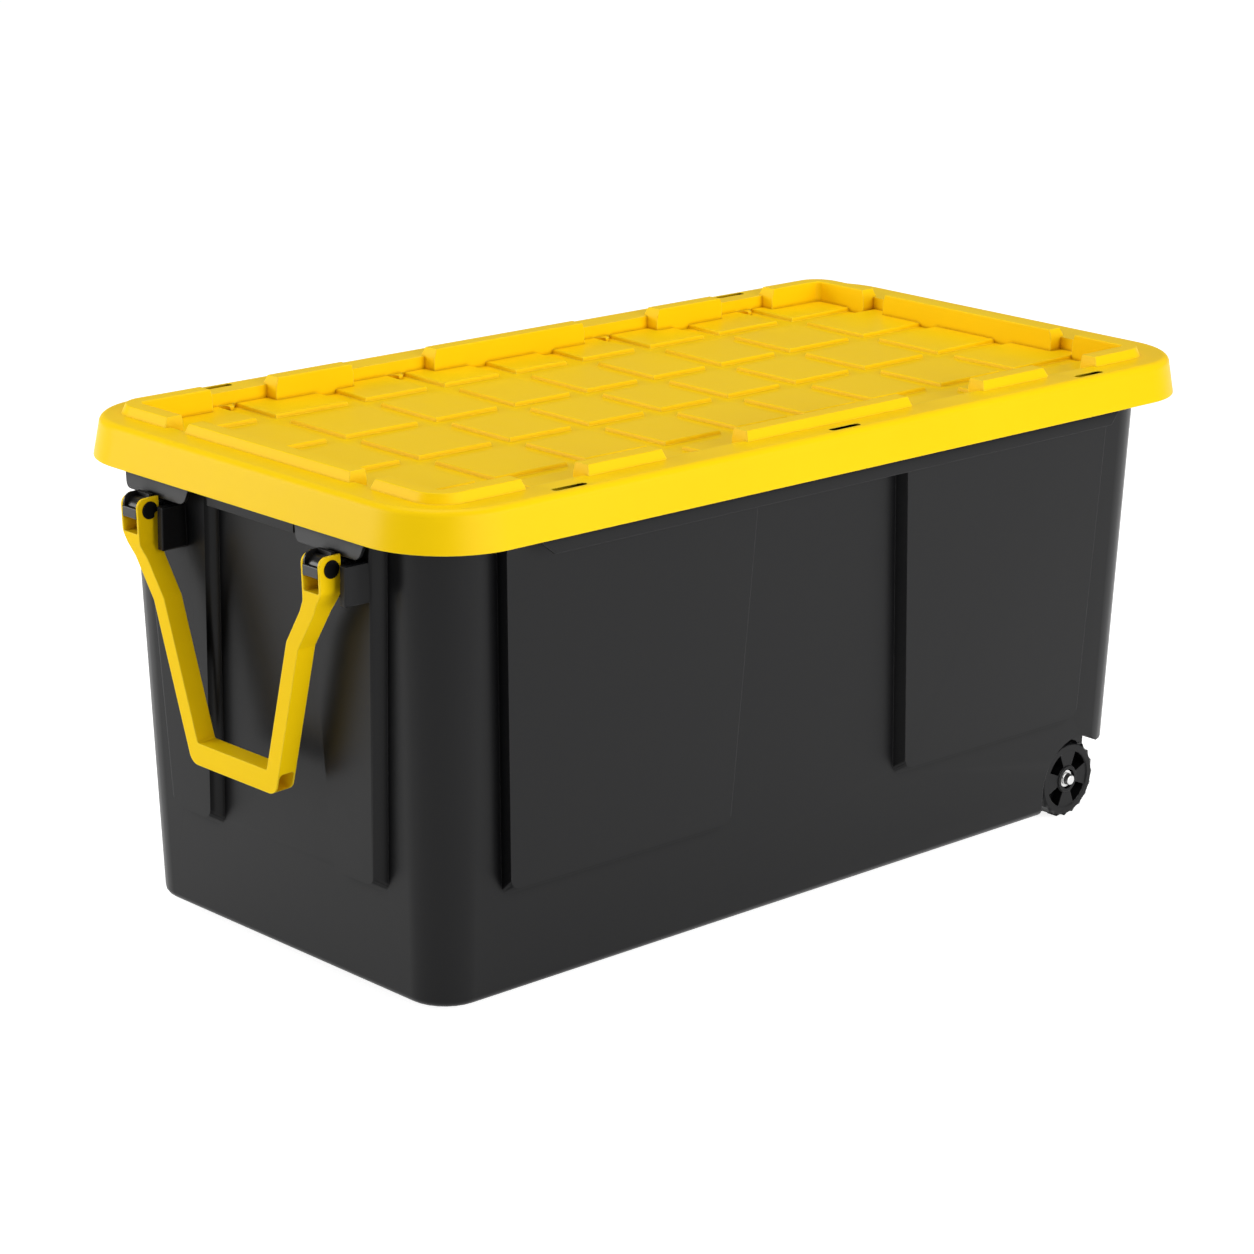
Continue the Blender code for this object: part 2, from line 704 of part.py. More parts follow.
def stacking_bars():
    """Band round the recess, parted into the bars that a second tote stacks between."""
    foot = -RECESS_INSET + RECESS_WALL / 2
    middle = DECK_TOP - LID_WALL / 2
    top_offset = -BAR_SLOPE
    rings = [
        recess_plan(foot, GROOVE_FLOOR - TRAY_THICKNESS / 2),
        recess_plan(foot, middle - 2 * HAIR),
        recess_plan(0.0, middle, BAR_CORNER),
        recess_plan(0.0, DECK_TOP, BAR_CORNER),
        recess_plan(top_offset, BAR_TOP - BAR_EDGE, BAR_CORNER - BAR_SLOPE),
        recess_plan(top_offset - BAR_EDGE, BAR_TOP, BAR_CORNER - BAR_SLOPE - BAR_EDGE),
    ]
    band = loft("band", rings)
    inside = [
        recess_plan(-BAR_WIDTH, TRAY_BOTTOM - SPARE, BAR_INNER_CORNER),
        recess_plan(-BAR_WIDTH, BAR_TOP - BAR_EDGE, BAR_INNER_CORNER),
        recess_plan(-BAR_WIDTH + 2 * BAR_EDGE, BAR_TOP + BAR_EDGE, BAR_INNER_CORNER + 2 * BAR_EDGE),
    ]
    cut(band, loft("inside", inside))
    gaps = [(True, -1, BODY_LENGTH, pair) for pair in NEAR_BAR_GAPS]
    gaps += [(True, 1, BODY_LENGTH, pair) for pair in FAR_BAR_GAPS]
    gaps += [(False, side, BODY_WIDTH, pair) for pair in END_BAR_GAPS for side in (-1, 1)]
    for along_x, side, length, pair in gaps:
        low, high = (length * share for share in pair)
        cut(band, bar_gap(low, high, along_x, side), bar_gap(-high, -low, along_x, side))
    return band


def build_lid():
    """Deck with a flared skirt, a tiled recess and the stacking bars."""
    rings = [lid_plan(SKIRT_STANDOFF, SKIRT_BOTTOM)]
    rings += edge_rings(lid_plan, skirt_offset(DECK_TOP), DECK_TOP, DECK_EDGE, True)
    lid = loft("lid", rings)
    under = DECK_TOP - LID_WALL
    hollow = [lid_plan(skirt_offset(z) - LID_WALL, z) for z in (SKIRT_BOTTOM, under)]
    hollow.insert(0, lid_plan(skirt_offset(SKIRT_BOTTOM) - LID_WALL, SKIRT_BOTTOM - MARGIN))
    cut(lid, loft("hollow", hollow))
    levels = (TRAY_BOTTOM, under + SPARE)
    unite(lid, loft("wall", [recess_plan(-RECESS_INSET + RECESS_WALL, z) for z in levels]))
    levels = (TRAY_BOTTOM - SPARE, DECK_TOP + SPARE)
    cut(lid, loft("recess", [recess_plan(-RECESS_INSET, z) for z in levels]))
    unite(lid, tray(), stacking_bars())
    cut(lid, *slot_cutters(0.0, under, DECK_TOP))
    return finish(lid, "lid", YELLOW, 0.38)


def wheel_body(side):
    """Tyre, rim and hub turned about the axle, with lugs in two staggered rows."""
    steps = LUGS * WHEEL_STEPS_PER_LUG
    bore = AXLE_RADIUS + BORE_GAP
    root = WHEEL_RADIUS - LUG_DEPTH
    half = WHEEL_WIDTH / 2
    bm = bmesh.new()
    loops = []
    for i in range(steps):
        phase = i % WHEEL_STEPS_PER_LUG
        outer = WHEEL_RADIUS if phase == 0 else root
        inner = WHEEL_RADIUS if phase == 1 else root
        profile = (
            (bore, HUB_RECESS_DEPTH),
            (HUB_RECESS_RADIUS, HUB_RECESS_DEPTH),
            (HUB_RECESS_RADIUS, 0.0),
            (HUB_RADIUS, 0.0),
            (HUB_RADIUS + HUB_TAPER, FACE_RECESS),
            (RIM_INNER, FACE_RECESS),
            (RIM_INNER + FACE_BEVEL, 0.0),
            (root - TREAD_SHOULDER, 0.0),
            (outer, TREAD_SHOULDER),
            (outer, half - LUG_STAGGER),
            (inner, half + LUG_STAGGER),
            (inner, WHEEL_WIDTH - TREAD_SHOULDER),
            (root - TREAD_SHOULDER, WHEEL_WIDTH),
            (bore, WHEEL_WIDTH),
        )
        angle = math.tau * i / steps
        loop = []
        for radius, depth in profile:
            x = AXLE_X + radius * math.cos(angle)
            z = AXLE_Z + radius * math.sin(angle)
            loop.append(bm.verts.new((x, side * (WHEEL_FACE - depth), z)))
        loops.append(loop)
    for i, loop in enumerate(loops):
        following = loops[(i + 1) % steps]
        for j in range(len(loop)):
            k = (j + 1) % len(loop)
            bm.faces.new((loop[j], loop[k], following[k], following[j]))
    return object_of("wheel", bm)


def window(side, middle, inner, outer, trim, start, end):
    """Wedge between two spokes, from one depth of the wheel to another."""
    half = WINDOW_SPAN / 2
    wide = half - math.degrees(trim / outer)
    narrow = half - math.degrees(trim / inner)
    axle = (AXLE_X, AXLE_Z)
    outline = arc(axle, outer, middle - wide, middle + wide, WINDOW_STEPS)
    outline += arc(axle, inner, middle + narrow, middle - narrow, WINDOW_STEPS // 2)
    low, high = sorted((side * (WHEEL_FACE - start), side * (WHEEL_FACE - end)))
    return prism("window", outline, "Y", low, high)


def build_wheel(side, name):
    wheel = wheel_body(side)
    inner = HUB_RADIUS + WINDOW_HUB_MARGIN
    outer = RIM_INNER
    web_back = WEB_DEPTH + WEB_THICKNESS
    ledge = WINDOW_LEDGE
    for middle in (45, 135, 225, 315):
        front = window(side, middle, inner, outer, 0.0, -MARGIN, WEB_DEPTH)
        hole = window(side, middle, inner + ledge, outer - ledge, ledge, 0.0, WHEEL_WIDTH)
        back = window(side, middle, inner, outer, 0.0, web_back, WHEEL_WIDTH + MARGIN)
        cut(wheel, front, hole, back)
    set_origin(wheel, (AXLE_X, side * (WHEEL_FACE - WHEEL_WIDTH / 2), AXLE_Z))
    return finish(wheel, name, BLACK, 0.55)


def washer_face():
    return WHEEL_FACE - HUB_RECESS_DEPTH + SEAT_GAP


def bore_through(axis, centre, radius, low, high):
    """Cutter for a round hole from one distance to another along an axis."""
    return rod("bore", axis, centre, [(low, radius), (high, radius)])


def build_axle():
    reach = washer_face() + WASHER_THICKNESS + AXLE_STICK_OUT
    profile = [
        (-reach, AXLE_RADIUS - AXLE_CHAMFER),
        (-reach + AXLE_CHAMFER, AXLE_RADIUS),
        (reach - AXLE_CHAMFER, AXLE_RADIUS),
        (reach, AXLE_RADIUS - AXLE_CHAMFER),
    ]
    axle = rod("axle", "Y", (AXLE_X, AXLE_Z), profile)
    return finish(axle, "axle", STEEL, 0.3, 1.0)


def build_washer(side, name):
    start = washer_face()
    end = start + WASHER_THICKNESS
    axle = (AXLE_X, AXLE_Z)
    washer = rod("washer", "Y", axle, [(side * start, WASHER_RADIUS), (side * end, WASHER_RADIUS)])
    reach = (side * (start - MARGIN), side * (end + MARGIN))
    cut(washer, bore_through("Y", axle, AXLE_RADIUS + BORE_GAP, *reach))
    set_origin(washer, (AXLE_X, side * start, AXLE_Z))
    return finish(washer, name, STEEL, 0.25, 1.0)


def build_nut(side, name):
    """Push-on cap that keeps a wheel on the axle."""
    start = washer_face() + WASHER_THICKNESS + SEAT_GAP
    end = start + NUT_LENGTH
    axle = (AXLE_X, AXLE_Z)
    profile = [
        (side * start, NUT_RADIUS + NUT_FLANGE),
        (side * (start + NUT_FLANGE), NUT_RADIUS + NUT_FLANGE),
        (side * (start + NUT_FLANGE + NUT_NECK), NUT_RADIUS),
        (side * (end - NUT_DOME), NUT_RADIUS),
        (side * (end - NUT_DOME / 3), NUT_RADIUS - NUT_DOME / 2),
        (side * end, NUT_RADIUS - NUT_DOME),
    ]
    nut = rod("nut", "Y", axle, profile)
    reach = (side * (start - MARGIN), side * (end - NUT_CAP))
    cut(nut, bore_through("Y", axle, AXLE_RADIUS + BORE_GAP, *reach))
    set_origin(nut, (AXLE_X, side * start, AXLE_Z))
    return finish(nut, name, STEEL, 0.25, 1.0)


def handle_point(place):
    """(y, z) of a point of the handle's outline at the +Y fork."""
    return (FORK_CENTRE - place[0], PIVOT_Z - place[1])


def handle_frame():
    """Forks, arms and grip in one bent outline, as deep as the forks."""
    half = FORK_WIDTH / 2
    top = PIVOT_Z + FORK_TOP
    outer = [(FORK_CENTRE + half, top), (FORK_CENTRE + half, PIVOT_Z - FORK_OUTER_NECK)]
    outer += [handle_point(place) for place in (KNEE, GRIP_CORNER)]
    inner = [handle_point(place) for place in (GRIP_INNER, INNER_KNEE)]
    inner += [(FORK_CENTRE - half, PIVOT_Z - FORK_INNER_NECK), (FORK_CENTRE - half, top)]
    radii_outer = [0, HANDLE_FILLET, HANDLE_FILLET, HANDLE_FILLET]
    radii_inner = [HANDLE_FILLET / 4, HANDLE_FILLET, HANDLE_FILLET / 2, 0]
    corners = outer + [(-y, z) for y, z in outer[::-1]]
    corners += [(-y, z) for y, z in inner[::-1]] + inner
    radii = radii_outer + radii_outer[::-1] + radii_inner[::-1] + radii_inner
    reach = (PIVOT_X - FORK_FRONT - SPARE, PIVOT_X + FORK_BACK + SPARE)
    return prism("frame", filleted(corners, radii, 3), "X", *reach)


def handle_side():
    """Side outline of the handle: forks with a round front corner, and thinner arms."""
    front, back = PIVOT_X - FORK_FRONT, PIVOT_X + FORK_BACK
    neck = PIVOT_Z - FORK_INNER_NECK
    foot = PIVOT_Z - GRIP_CORNER[1] - SPARE
    corners = [
        (PIVOT_X - ARM_FRONT, foot),
        (PIVOT_X - ARM_FRONT, neck - FORK_TAPER),
        (front, neck),
        (front, PIVOT_Z + FORK_TOP),
        (back, PIVOT_Z + FORK_TOP),
        (back, neck),
        (PIVOT_X + ARM_BACK, neck - FORK_TAPER),
        (PIVOT_X + ARM_BACK, foot),
    ]
    outline = filleted(corners, (0, 0, 0, FORK_CORNER, FORK_BACK_CORNER, 0, 0, 0))
    return prism("side", outline, "Y", -BODY_WIDTH / 2, BODY_WIDTH / 2)


def fork_gap(side):
    left = side * FORK_CENTRE - FORK_GAP / 2
    right = side * FORK_CENTRE + FORK_GAP / 2
    low, high = PIVOT_Z - FORK_FLOOR, PIVOT_Z + MARGIN
    corners = [(left, low), (right, low), (right, high), (left, high)]
    outline = filleted(corners, (FORK_GAP_FILLET, FORK_GAP_FILLET, 0, 0), 2)
    reach = (PIVOT_X - FORK_FRONT - MARGIN, PIVOT_X + FORK_BACK + MARGIN)
    return prism("gap", outline, "X", *reach)


def grip_bore():
    """Square bore with round corners that makes the grip a tube, open at both sides."""
    low = PIVOT_Z - GRIP_CORNER[1] + GRIP_WALL
    high = PIVOT_Z - GRIP_INNER[1] - GRIP_WALL
    front = PIVOT_X - ARM_FRONT + GRIP_WALL
    back = PIVOT_X + ARM_BACK - GRIP_WALL
    corners = [(front, low), (back, low), (back, high), (front, high)]
    outline = filleted(corners, (GRIP_BORE_CORNER,) * 4, 3)
    return prism("bore", outline, "Y", -FORK_CENTRE, FORK_CENTRE)


def build_handle():
    handle = soften(combine(handle_frame(), [handle_side()], "INTERSECT"), HANDLE_EDGE)
    for side in (-1, 1):
        cut(handle, fork_gap(side))
        reach = (side * FORK_CENTRE - FORK_WIDTH, side * FORK_CENTRE + FORK_WIDTH)
        cut(handle, bore_through("Y", (PIVOT_X, PIVOT_Z), PIN_RADIUS + BORE_GAP, *reach))
    cut(handle, grip_bore())
    set_origin(handle, (PIVOT_X, 0.0, PIVOT_Z))
    handle.data.transform(Matrix.Rotation(math.radians(-HANDLE_TILT), 4, "Y"))
    return finish(handle, "handle", YELLOW, 0.35)


def build_bracket(side, name):
    """Black insert in the block's pocket: a back plate, a neck, the knuckle and its toe."""
    middle = side * FORK_CENTRE
    back = BLOCK_FRONT + POCKET_DEPTH - SEAT_GAP
    left = middle - POCKET_HALF + SEAT_GAP
    right = middle + POCKET_HALF - SEAT_GAP
    low, high = BLOCK_BOTTOM + BRACKET_FOOT, BLOCK_TOP - BRACKET_HEAD
    plate = [(left, low), (right, low), (right, high), (left, high)]
    bracket = prism("bracket", plate, "X", back - BRACKET_PLATE, back)
    half = FORK_GAP / 2 - SEAT_GAP
    root = back - BRACKET_PLATE / 2
    toe = PIVOT_X - BRACKET_TOE
    corners = [
        (toe, PIVOT_Z - BRACKET_TOE_BOTTOM),
        (root, PIVOT_Z - BRACKET_TOE_BOTTOM),
        (root, PIVOT_Z + KNUCKLE_RADIUS / 2),
        (PIVOT_X, PIVOT_Z + KNUCKLE_RADIUS / 2),
        (PIVOT_X, PIVOT_Z + BRACKET_TOE_TOP),
        (toe, PIVOT_Z + BRACKET_TOE_TOP),
    ]
    neck = filleted(corners, (NECK_FILLET, 0, 0, 0, 0, NECK_FILLET), 2)
    neck_half = half - SEAT_GAP
    pivot = (PIVOT_X, PIVOT_Z)
    ends = [(middle - half, KNUCKLE_RADIUS), (middle + half, KNUCKLE_RADIUS)]
    unite(
        bracket,
        prism("neck", neck, "Y", middle - neck_half, middle + neck_half),
        rod("knuckle", "Y", pivot, ends),
    )
    reach = (middle - FORK_WIDTH, middle + FORK_WIDTH)
    cut(bracket, bore_through("Y", pivot, PIN_RADIUS + BORE_GAP, *reach))
    set_origin(bracket, (back, middle, PIVOT_Z))
    return finish(bracket, name, GLOSS_BLACK, 0.25)


def build_pin(side, name):
    """Hinge pin with its head on the ear's -Y face."""
    middle = side * FORK_CENTRE
    face = middle - FORK_WIDTH / 2 - SEAT_GAP
    far = middle + FORK_WIDTH / 2 + PIN_STICK_OUT
    outside = face - PIN_HEAD_THICKNESS
    profile = [
        (outside, PIN_HEAD_RADIUS - PIN_HEAD_CHAMFER),
        (outside + PIN_HEAD_CHAMFER, PIN_HEAD_RADIUS),
        (face, PIN_HEAD_RADIUS),
        (face + HAIR, PIN_RADIUS),
        (far - PIN_CHAMFER, PIN_RADIUS),
        (far, PIN_RADIUS - PIN_CHAMFER),
    ]
    pin = rod("pin", "Y", (PIVOT_X, PIVOT_Z), profile)
    set_origin(pin, (PIVOT_X, middle, PIVOT_Z))
    return finish(pin, name, GLOSS_BLACK, 0.3)


def main():
    clear_scene()
    build_tub()
    build_lid()
    build_handle()
    build_axle()
    for side, word in ((-1, "near"), (1, "far")):
        build_bracket(side, "hinge_bracket_" + word)
        build_pin(side, "hinge_pin_" + word)
        build_wheel(side, "wheel_" + word)
        build_washer(side, "washer_" + word)
        build_nut(side, "axle_nut_" + word)


main()
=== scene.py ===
"""Looks of the wheeled storage tote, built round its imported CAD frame.

The lid, the handle and the hinge brackets are made again here with finer rounding. Most of their
sizes are the CAD model's. Those of the grooves, slots, fork gaps, grip wall, knuckles and bracket
hoods differ from it or are new, after close crops of the photograph. The other nodes are shown as
smooth copies of themselves, the tub's and the pins' with small forms moved.
"""

import json
import math

import bmesh
import bpy
from mathutils import Matrix, Vector


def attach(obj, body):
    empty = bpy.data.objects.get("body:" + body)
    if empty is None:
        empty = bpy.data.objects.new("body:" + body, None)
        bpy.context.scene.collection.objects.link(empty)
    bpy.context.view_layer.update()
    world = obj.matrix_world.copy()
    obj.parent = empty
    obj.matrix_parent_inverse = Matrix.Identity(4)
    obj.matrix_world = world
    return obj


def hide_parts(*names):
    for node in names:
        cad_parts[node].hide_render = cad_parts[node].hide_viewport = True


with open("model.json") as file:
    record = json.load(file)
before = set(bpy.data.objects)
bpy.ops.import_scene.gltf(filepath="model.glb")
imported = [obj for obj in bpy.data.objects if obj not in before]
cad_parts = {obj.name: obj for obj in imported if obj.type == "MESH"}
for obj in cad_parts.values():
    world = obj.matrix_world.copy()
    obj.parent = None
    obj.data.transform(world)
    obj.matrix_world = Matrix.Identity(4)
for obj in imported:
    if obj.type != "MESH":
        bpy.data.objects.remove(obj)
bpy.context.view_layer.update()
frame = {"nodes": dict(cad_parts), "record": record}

scene = bpy.context.scene
scene.view_settings.view_transform = "Standard"

# Camera fitted to the photograph, in metres and degrees, with a lens and sensor in millimetres
CAMERA_PLACE = (-2.4383, -2.5269, 1.2700)
CAMERA_AZIMUTH = -43.565
CAMERA_ELEVATION = 16.477
CAMERA_ROLL = 0.859
CAMERA_LENS = 107.82
CAMERA_SENSOR = 36
CAMERA_REACH = 200

# Studio: light of the world, floor, and the name, place, aim, size and power of each lamp
WORLD_LIGHT = 0.27
FLOOR_GLOW = 0.85
FLOOR_RADIUS = 60
FLOOR_STEPS = 96
FLOOR_DROP = 0.0006
LAMPS = (
    ("right_box", (0.35, -3.4, 1.25), (0.0, 0.0, 0.25), (4.0, 1.7), 107),
    ("left_box", (-2.9, 2.1, 1.05), (-0.1, 0.0, 0.25), (2.0, 1.9), 79),
    ("top_box", (0.1, 0.5, 3.6), (0.0, 0.0, 0.4), (2.6, 2.0), 50),
)

# The tub, whose outline the lid follows
BODY_LENGTH = 0.909
BODY_WIDTH = 0.425
BODY_BOTTOM = 0.013
BODY_CORNER = 0.040
CORNER_GROWTH = 0.0259
DRAFT_X = 0.0474
DRAFT_Y = 0.0429
RIM_TOP = 0.4742

# Lid: skirt and deck
SKIRT_DEPTH = 0.0342
SKIRT_STANDOFF = 0.0348
SKIRT_FLARE = 0.0054
SKIRT_FOOT = 0.0008
LID_WALL = 0.003
LID_GAP = 0.0003
DECK_EDGE = 0.0075

# Lid: recess with its tray of tiles
RECESS_INSET = 0.0051
RECESS_SHORTFALL = 0.0135
RECESS_WALL = 0.0025
TILE_DROP = 0.0125
TRAY_THICKNESS = 0.0046
TRAY_SAG = 0.0018
GROOVE_DEPTH = 0.0040
GROOVE_FLARE = 0.009
COLUMN_GROOVES = (0.04906, 0.15116, 0.25900, 0.37800)
ROW_GROOVES = (0.12141, 0.36188)
# Half width of a groove and its height over the groove's floor, from the floor to the tiles
GROOVE_PROFILE = (
    (0.0009, 0.0),
    (0.0015, 0.0002),
    (0.0018, 0.0008),
    (0.0023, 0.0029),
    (0.0026, 0.0035),
    (0.0031, 0.0039),
    (0.0038, 0.00402),
)

# Lid: stacking bars, whose gaps are shares of the tub's length or width
BAR_HEIGHT = 0.0088
BAR_WIDTH = 0.0202
BAR_SLOPE = 0.0035
BAR_EDGE = 0.0012
BAR_CORNER = 0.030
BAR_INNER_CORNER = 0.006
BAR_END_SLOPE = 0.003
NEAR_BAR_GAPS = ((0.11991, 0.22992), (0.33278, 0.41199))
FAR_BAR_GAPS = ((0.1099, 0.2219), (0.3253, 0.4078))
END_BAR_GAPS = ((0.27294, 0.33882),)

# Lid: slots, with a thin lip over room that reaches outwards and inwards
SLOT_PLACES = (-0.37404, 0.0, 0.37800)
SLOT_INSET = 0.0185
SLOT_LENGTH = 0.039
SLOT_WIDTH = 0.0080
SLOT_LIP = 0.0005
SLOT_RELIEF = (0.0025, 0.0100)

# Handle
PIVOT_STANDOFF = 0.0035
PIVOT_DEPTH = 0.0608
FORK_FROM_SIDE = 0.0840
FORK_WIDTH = 0.025
FORK_GAP = 0.0205
FORK_FRONT = 0.0130
FORK_BACK = 0.0105
FORK_TOP = 0.0115
FORK_FLOOR = 0.0205
FORK_CORNER = 0.008
FORK_BACK_CORNER = 0.0006
FORK_OUTER_NECK = 0.0205
FORK_INNER_NECK = 0.0300
FORK_TAPER = 0.012
FORK_GAP_FILLET = 0.002
ARM_FRONT = 0.0108
ARM_BACK = 0.0088
KNEE = (0.0258, 0.0785)
INNER_KNEE = (0.0410, 0.0740)
GRIP_CORNER = (0.0682, 0.2231)
GRIP_INNER = (0.0787, 0.2018)
GRIP_WALL = 0.0016
GRIP_BORE_CORNER = 0.0035
HANDLE_FILLET = 0.012
HANDLE_EDGE = 0.0014
HANDLE_TILT = 2.8

# Brackets: plate, knuckle and toe, and a black hood that lines a fork's gap, partly standing in for
# the shade there
BRACKET_PLATE = 0.003
BRACKET_TOE = 0.0132
BRACKET_TOE_TOP = 0.0025
BRACKET_FOOT = 0.002
BRACKET_HEAD = 0.001
BRACKET_EDGE = 0.0004
KNUCKLE_RADIUS = 0.0100
NECK_FILLET = 0.002
TOE_BOTTOM = 0.0076
HOOD_FRONT = 0.0124
HOOD_TOP = 0.0138
HOOD_WALL = 0.0016
HOOD_BACK = 0.0060
HOOD_CORNER = 0.0085
SEAT_GAP = 0.0003
BORE_GAP = 0.0003

# Pins, with smaller heads than their solids and a notch in the far one
PIN_RADIUS = 0.004
PIN_SHANK = 0.0050
PIN_HEAD_SCALE = 0.83
NOTCH_RADIUS = 0.0028
NOTCH_PLACE = (0.0070, -0.0046)

# Hinge blocks of the tub and the pockets in them
BLOCK_PROUD = 0.03737
BLOCK_DEPTH = 0.0557
BLOCK_HALF = 0.0290
BLOCK_HEIGHT = 0.0365
POCKET_HALF = 0.0155
POCKET_DEPTH = 0.017
# How far the copy's blocks and pockets are moved from the solid's
BLOCK_SHIFT = 0.0015
FAR_BLOCK_DROP = 0.0040
POCKET_GROWTH = 0.0060
# How near to a face, or how far along a pocket, a vertex counts as the block's
BLOCK_REACH = 0.002
POCKET_REACH = 0.0004
POCKET_LENGTH = 0.018

# Flaps of the tub's rim above the hinges
FLAP_BOTTOM = 0.4235
FLAP_TOP = 0.4440
FLAP_BACK = -0.4920
FLAP_NEAR = 0.070
FLAP_FAR = 0.175
FLAP_LEAN = 0.18

# Ends of the tub's side panels towards the handle
PANEL_END = (-0.4175, -0.3750)
PANEL_WALL = 0.1900
PANEL_SHIFT = 0.0255
PANEL_LOWEST = 0.1000
PANEL_ROOT = 0.0060
PANEL_UNDERCUT = 0.0030

# How far a cutter reaches past what it cuts, or a joined solid into its neighbour
SPARE = 0.001
MARGIN = 0.02
HAIR = 0.00001

# Facets
CORNER_STEPS = 18
FILLET_STEPS = 8
ROUND_STEPS = 48
FLARE_STEPS = 6

# Meshes: rounding and smoothing angles in degrees, and what is welded or joined in a copy
SOFTEN_ANGLE = 40.0
SMOOTH_ANGLE = 32.0
FACE_WEIGHT = 80
WELD_DISTANCE = 0.000002
FLAT_ANGLE = 0.3

# Plastics: pattern scales, and between which shares of open sky or turns of a normal effects fade
FLOW_SCALE = 5.0
MOTTLE_SCALE = 60.0
GRAIN_SCALE = 1500.0
WAVE_SCALE = 14.0
WAVINESS = 0.0004
# Painted shade in hollows: how much of it, and the shares of open sky over which it fades
HOLLOW_SHADE_SHARE = 0.85
HOLLOW_SHADE_FADE = (0.30, 0.92)
GLOSS_FADE = (0.30, 0.90)
# Shares of open sky between which the painted highlight on edges fades in
EDGE_HIGHLIGHT_FADE = (0.50, 0.75)
EDGE_FADE = (0.80, 0.995)
BEVEL_SAMPLES = 4
SKY_SAMPLES = 8

# Values that follow
SKIRT_BOTTOM = RIM_TOP - SKIRT_DEPTH
DECK_TOP = RIM_TOP + LID_GAP + LID_WALL
BAR_TOP = DECK_TOP + BAR_HEIGHT
TILE_TOP = DECK_TOP - TILE_DROP
GROOVE_FLOOR = TILE_TOP - GROOVE_DEPTH
TRAY_BOTTOM = GROOVE_FLOOR - TRAY_THICKNESS
FLARE_SLOPE = SKIRT_FLARE / (DECK_TOP - SKIRT_BOTTOM)
BLOCK_TOP = RIM_TOP - BLOCK_DEPTH
BLOCK_BOTTOM = BLOCK_TOP - BLOCK_HEIGHT
BLOCK_FRONT = -(BODY_LENGTH / 2 + DRAFT_X * (BLOCK_TOP - BODY_BOTTOM) + BLOCK_PROUD)
PIVOT_X = BLOCK_FRONT - PIVOT_STANDOFF
PIVOT_Z = RIM_TOP - PIVOT_DEPTH
FORK_CENTRE = BODY_WIDTH / 2 - FORK_FROM_SIDE


def object_of(name, bm):
    bmesh.ops.recalc_face_normals(bm, faces=bm.faces)
    mesh = bpy.data.meshes.new(name)
    bm.to_mesh(mesh)
    bm.free()
    obj = bpy.data.objects.new(name, mesh)
    scene.collection.objects.link(obj)
    return obj


def loft(name, rings):
    """Closed solid through rings of equal point counts, with a flat cap at each end."""
    bm = bmesh.new()
    loops = [[bm.verts.new(point) for point in ring] for ring in rings]
    for low, high in zip(loops, loops[1:]):
        for i in range(len(low)):
            j = (i + 1) % len(low)
            bm.faces.new((low[i], low[j], high[j], high[i]))
    bm.faces.new(loops[0][::-1])
    bm.faces.new(loops[-1])
    return object_of(name, bm)


def along(axis, across, up, distance):
    """Point of an outline that is pushed along an axis: (y, z) on X, (x, z) on Y, (x, y) on Z."""
    if axis == "X":
        return (distance, across, up)
    if axis == "Y":
        return (across, distance, up)
    return (across, up, distance)


def prism(name, outline, axis, low, high):
    return loft(name, [[along(axis, a, b, d) for a, b in outline] for d in (low, high)])


def block(name, x_range, y_range, z_range):
    """Box between three pairs of limits."""
    left, right = y_range
    low, high = z_range
    corners = [(left, low), (right, low), (right, high), (left, high)]
    return prism(name, corners, "X", *x_range)


def round_bar(name, centre, radius, low, high):
    """Round bar along Y about an (x, z) centre, as a solid or as the cutter of a bore."""
    angles = [math.tau * i / ROUND_STEPS for i in range(ROUND_STEPS)]
    points = [(radius * math.cos(a), radius * math.sin(a)) for a in angles]
    return prism(name, [(centre[0] + a, centre[1] + b) for a, b in points], "Y", low, high)


def arc(centre, radius, start, end, steps):
    """Points from one angle to another, in degrees."""
    points = []
    for i in range(steps + 1):
        angle = math.radians(start + (end - start) * i / steps)
        points.append((centre[0] + radius * math.cos(angle), centre[1] + radius * math.sin(angle)))
    return points


def filleted(corners, radii):
    """Outline with each corner rounded to its radius; a radius of zero keeps the corner."""
    outline = []
    for i, corner in enumerate(corners):
        here = Vector(corner)
        before = (Vector(corners[i - 1]) - here).normalized()
        after = (Vector(corners[(i + 1) % len(corners)]) - here).normalized()
        if radii[i] == 0:
            outline.append(tuple(here))
            continue
        half = before.angle(after) / 2
        centre = here + (before + after).normalized() * (radii[i] / math.sin(half))
        first = here + before * (radii[i] / math.tan(half)) - centre
        last = here + after * (radii[i] / math.tan(half)) - centre
        turn = first.angle_signed(last)
        for step in range(FILLET_STEPS + 1):
            spoke = first.copy()
            spoke.rotate(Matrix.Rotation(-turn * step / FILLET_STEPS, 2))
            outline.append(tuple(centre + spoke))
    return outline


def rounded_rectangle(half_x, half_y, radius):
    corners = ((half_x, half_y), (-half_x, half_y), (-half_x, -half_y), (half_x, -half_y))
    outline = []
    for (x, y), start in zip(corners, (0, 90, 180, 270)):
        centre = (x - math.copysign(radius, x), y - math.copysign(radius, y))
        outline += arc(centre, radius, start, start + 90, CORNER_STEPS)
    return outline


def evaluate(obj):
    """Puts the result of an object's modifiers into its mesh."""
    graph = bpy.context.evaluated_depsgraph_get()
    mesh = bpy.data.meshes.new_from_object(obj.evaluated_get(graph))
    old = obj.data
    obj.modifiers.clear()
    obj.data = mesh
    bpy.data.meshes.remove(old)


def combine(target, others, operation):
    for other in others:
        modifier = target.modifiers.new(operation.title(), "BOOLEAN")
        modifier.operation = operation
        modifier.object = other
        evaluate(target)
        bpy.data.objects.remove(other, do_unlink=True)
    return target


def unite(target, *others):
    return combine(target, others, "UNION")


def cut(target, *cutters):
    return combine(target, cutters, "DIFFERENCE")


